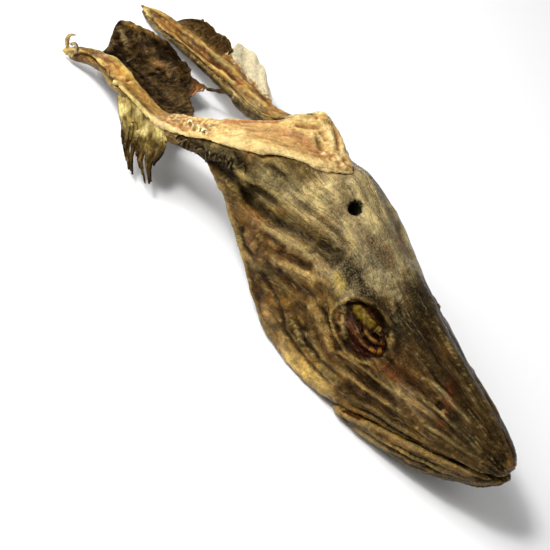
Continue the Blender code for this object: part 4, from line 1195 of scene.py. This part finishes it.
# ------------------------------------------------------------------------------------------------------------
# Dried ends of skin and sinew: the hook that curls up at the tip of the right arm, with a loop on it, the
# torn orange corner of the throat skin with a strand across to the left arm, pale curls on the chopped flesh
# and shreds of skin under it. Each is a thin end of the piece that it starts on, and dried hard with it.
# ------------------------------------------------------------------------------------------------------------
# The hook, its loop and the strand: colour, radii from end to end, and the places each runs through.
STRANDS = (
    ("9a8050", (1.5, 1.3, 1.0, 0.5),
     ((-163, -47, 7), (-168, -48, 7), (-172, -48, 10), (-173, -48, 13), (-172, -48, 16), (-169, -48, 19))),
    ("7a6a50", (0.8, 0.9, 0.8, 0.7),
     ((-169, -48, 11), (-167, -48, 14), (-164, -48, 14), (-163, -48, 11), (-164, -48, 9))),
    ("3a2a1a", (0.8, 0.9, 1.2, 0.9),
     ((-117, 20, 14.5), (-114, 22, 16.5), (-111, 24, 18.5), (-108, 27, 20))),
)

# The pale curls: place, radius, and the turn in radians that each begins and ends at.
CURLS = (
    ((-76.5, -45, 46.5), 2.5, 3.4, -0.9),
    ((-71.0, -46, 49.5), 2.1, 2.8, -1.5),
    ((-66.0, -46, 53.0), 1.5, 3.9, 0.2),
)
CURL_COLOUR = "dcc48e"
CURL_RADII = (0.45, 0.75, 0.75, 0.4)
CURL_STEPS = 5
chopped = surface_of(flesh)
curls = []
for (x, y, z), size, first, last in CURLS:
    place, normal = chopped.find_nearest(here(x, y, z))[:2]
    ahead = Vector((1, 0, 0))
    across = normal.cross(ahead).normalized()
    line = []
    for step in range(CURL_STEPS + 1):
        turn = first + (last - first) * step / CURL_STEPS
        lift = 0.5 + 1.1 * math.sin(math.pi * step / CURL_STEPS)
        ring = ahead * math.cos(turn) + across * math.sin(turn)
        line.append(tuple((place - NAPE) / MM + ring * size + normal * lift))
    curls.append((CURL_COLOUR, CURL_RADII, tuple(line)))

# The shreds of skin below the flesh of the right shoulder, which hang down from this line.
SHREDS = 40
SHRED_RADII = (0.3, 0.5, 0.4, 0.2)
SHRED_LINE = ((-76, -51, 41), (-66, -50, 45), (-59, -50, 48), (-52, -47, 52), (-45, -44, 56), (-38, -42, 61))
SHRED_COLOURS = ("3a3020", "221a0e", "0e0804", "5e5030", "140c06")
shoulder = surface_of(skin)
draw = random.Random(11)
shreds = []
for _ in range(SHREDS):
    first = draw.randrange(len(SHRED_LINE) - 1)
    stretch = np.subtract(SHRED_LINE[first + 1], SHRED_LINE[first])
    start = np.array(SHRED_LINE[first]) + stretch * draw.random()
    lean = draw.uniform(-0.5, 0.9)
    length = draw.uniform(2.5, 7.5)
    line = []
    for step, lift in enumerate((0.0, 0.3, 0.5, draw.uniform(0.1, 1.2))):
        fall = length * step / 3
        x, y, z = start + (lean * fall, 0, -fall)
        place, normal = shoulder.find_nearest(here(x, y, z))[:2]
        line.append(tuple((place - NAPE) / MM + normal * lift))
    shreds.append((draw.choice(SHRED_COLOURS), SHRED_RADII, tuple(line)))


def smooth_along(line, t):
    """Points of a smooth curve through places, with t from 0 to 1."""
    return over_rows([line, line], t, np.zeros(len(t)))


strands = []
for colour, radii, line in STRANDS + tuple(curls) + tuple(shreds):
    bpy.ops.object.select_all(action="DESELECT")
    bpy.ops.mesh.primitive_uv_sphere_add(segments=20, ring_count=60, radius=1)
    strand = bpy.context.object
    ball = points_of(strand)
    t = np.arccos(np.clip(ball[:, 2], -1, 1)) / np.pi
    middle = smooth_along(line, t)
    ahead = smooth_along(line, np.minimum(t + 0.02, 1)) - smooth_along(line, np.maximum(t - 0.02, 0))
    ahead /= np.linalg.norm(ahead, axis=1)[:, None]
    side = np.cross(ahead, (0, 1, 0.15))
    side /= np.linalg.norm(side, axis=1)[:, None]
    closing = np.clip(np.minimum(t, 1 - t) * 20, 0, 1)
    radius = np.interp(t, np.linspace(0, 1, len(radii)), radii) * closing * MM
    round_it = np.arctan2(ball[:, 1], ball[:, 0])
    radius *= 1 + 0.25 * np.sin(2 * round_it + 12 * t)
    across = np.cos(round_it)[:, None] * side + np.sin(round_it)[:, None] * np.cross(ahead, side)
    move_points(strand, middle + across * radius[:, None])
    places = points_of(strand)
    tint = np.tile(shade(colour), (len(places), 1))
    tint = tint * (1 + 0.8 * rough(places, 2.5 * MM, 2, 99.0))[:, None]
    keep_looks(strand, tint, np.c_[t * 0.04, round_it * 0.002, t * 0])
    strands.append(strand)

# The torn orange corner of the throat skin.
CORNER_ROWS = (
    ((-131, 20, 11), (-125, 20.5, 12.5), (-120, 20.5, 14), (-117, 20.5, 14.8)),
    ((-127, 15, 11), (-122, 16, 12.5), (-119, 17, 14), (-117, 19, 14.6)),
    ((-122, 10, 11), (-119, 12, 12.5), (-118, 14.5, 13.5), (-117, 18, 14.4)),
    ((-116, 5, 11), (-116, 8, 12.5), (-116.5, 12, 13.5), (-117, 17, 14.2)),
)


def corner_shape(u, v):
    """Low waves all over."""
    return u, v, 0.6 * np.sin(5 * u + 7 * v) + 0.3 * np.sin(17 * u)


corner = make_sheet("torn_corner", CORNER_ROWS, (40, 40), corner_shape, 1.0)
u, v = sheet_uv(corner)
tint = np.tile(shade("8f5218"), (len(u), 1))
tint = lay(tint, "3c2a16", ramp(-u, -0.5, 0.3))
tint = lay(tint, "c79a6c", ramp(v, 0.72, 0.2) * np.clip(u * 2 - 0.6, 0, 1))
tint = lay(tint, "45351f", ramp(-v, -0.3, 0.2))
keep_looks(corner, tint * 0.75)
strands.append(corner)
strings = strands[0]
join(*strands)
strings.name = "dried_strands"
in_edit_mode(strings, bpy.ops.mesh.normals_make_consistent, inside=False)
bpy.ops.object.shade_smooth()
strings.data.materials.clear()
strings.data.materials.append(hide_finish("strands", 0.34, contrast=0.4))
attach(strings, "root")

# ------------------------------------------------------------------------------------------------------------
# The place it lies on, the light and the camera: a pale floor, and three soft lamps round the camera, which
# looks at the head from its front right and above.
# ------------------------------------------------------------------------------------------------------------
bpy.ops.object.select_all(action="DESELECT")
FLOOR_DROP = 0.2 * MM  # keeps the floor clear of the skin that rests on it
bpy.ops.mesh.primitive_plane_add(size=12, location=(0, 0, -FLOOR_DROP))
floor = bpy.context.object
floor.name = "floor"
paper = bpy.data.materials.new("floor")
paper.use_nodes = True
paper.node_tree.nodes["Principled BSDF"].inputs["Base Color"].default_value = (0.95, 0.95, 0.95, 1)
paper.node_tree.nodes["Principled BSDF"].inputs["Roughness"].default_value = 0.9
floor.data.materials.append(paper)

world = bpy.data.worlds.new("studio")
world.use_nodes = True
world.node_tree.nodes["Background"].inputs["Color"].default_value = (1, 1, 1, 1)
world.node_tree.nodes["Background"].inputs["Strength"].default_value = 0.27
bpy.context.scene.world = world
bpy.context.scene.view_settings.view_transform = "Standard"

CAMERA_RIGHT = Vector((0.56143945, 0.67683485, 0.47610958))
CAMERA_UP = Vector((-0.77592451, 0.23060162, 0.58716612))
CAMERA_BACK = Vector((0.28762285, -0.69908332, 0.65464159))
CAMERA_DISTANCE = 1.0
LAMP_DISTANCE = 1.1
aim = here(19.6, -45.9, 33.1)
camera = bpy.data.objects.new("camera", bpy.data.cameras.new("camera"))
bpy.context.scene.collection.objects.link(camera)
turn = Matrix((CAMERA_RIGHT, CAMERA_UP, CAMERA_BACK)).transposed().to_4x4()
camera.matrix_world = Matrix.Translation(aim + CAMERA_BACK * CAMERA_DISTANCE) @ turn
camera.data.lens = 121.2
camera.data.clip_end = 20
bpy.context.scene.camera = camera

for name, way, power, size in (
    ("key", CAMERA_UP * 0.9 - CAMERA_RIGHT * 0.5 + CAMERA_BACK * 0.7, 17.5, 0.8),
    ("accent", CAMERA_UP * 0.7 - CAMERA_RIGHT * 0.2 + CAMERA_BACK * 0.9, 5.5, 0.18),
    ("fill", CAMERA_RIGHT * 0.9 + CAMERA_BACK * 0.8, 1.5, 0.9),
):
    lamp = bpy.data.lights.new(name, "AREA")
    lamp.energy = power
    lamp.size = size
    spot = bpy.data.objects.new(name, lamp)
    bpy.context.scene.collection.objects.link(spot)
    spot.location = aim + way.normalized() * LAMP_DISTANCE
    spot.rotation_euler = (-way).to_track_quat("-Z", "Y").to_euler()
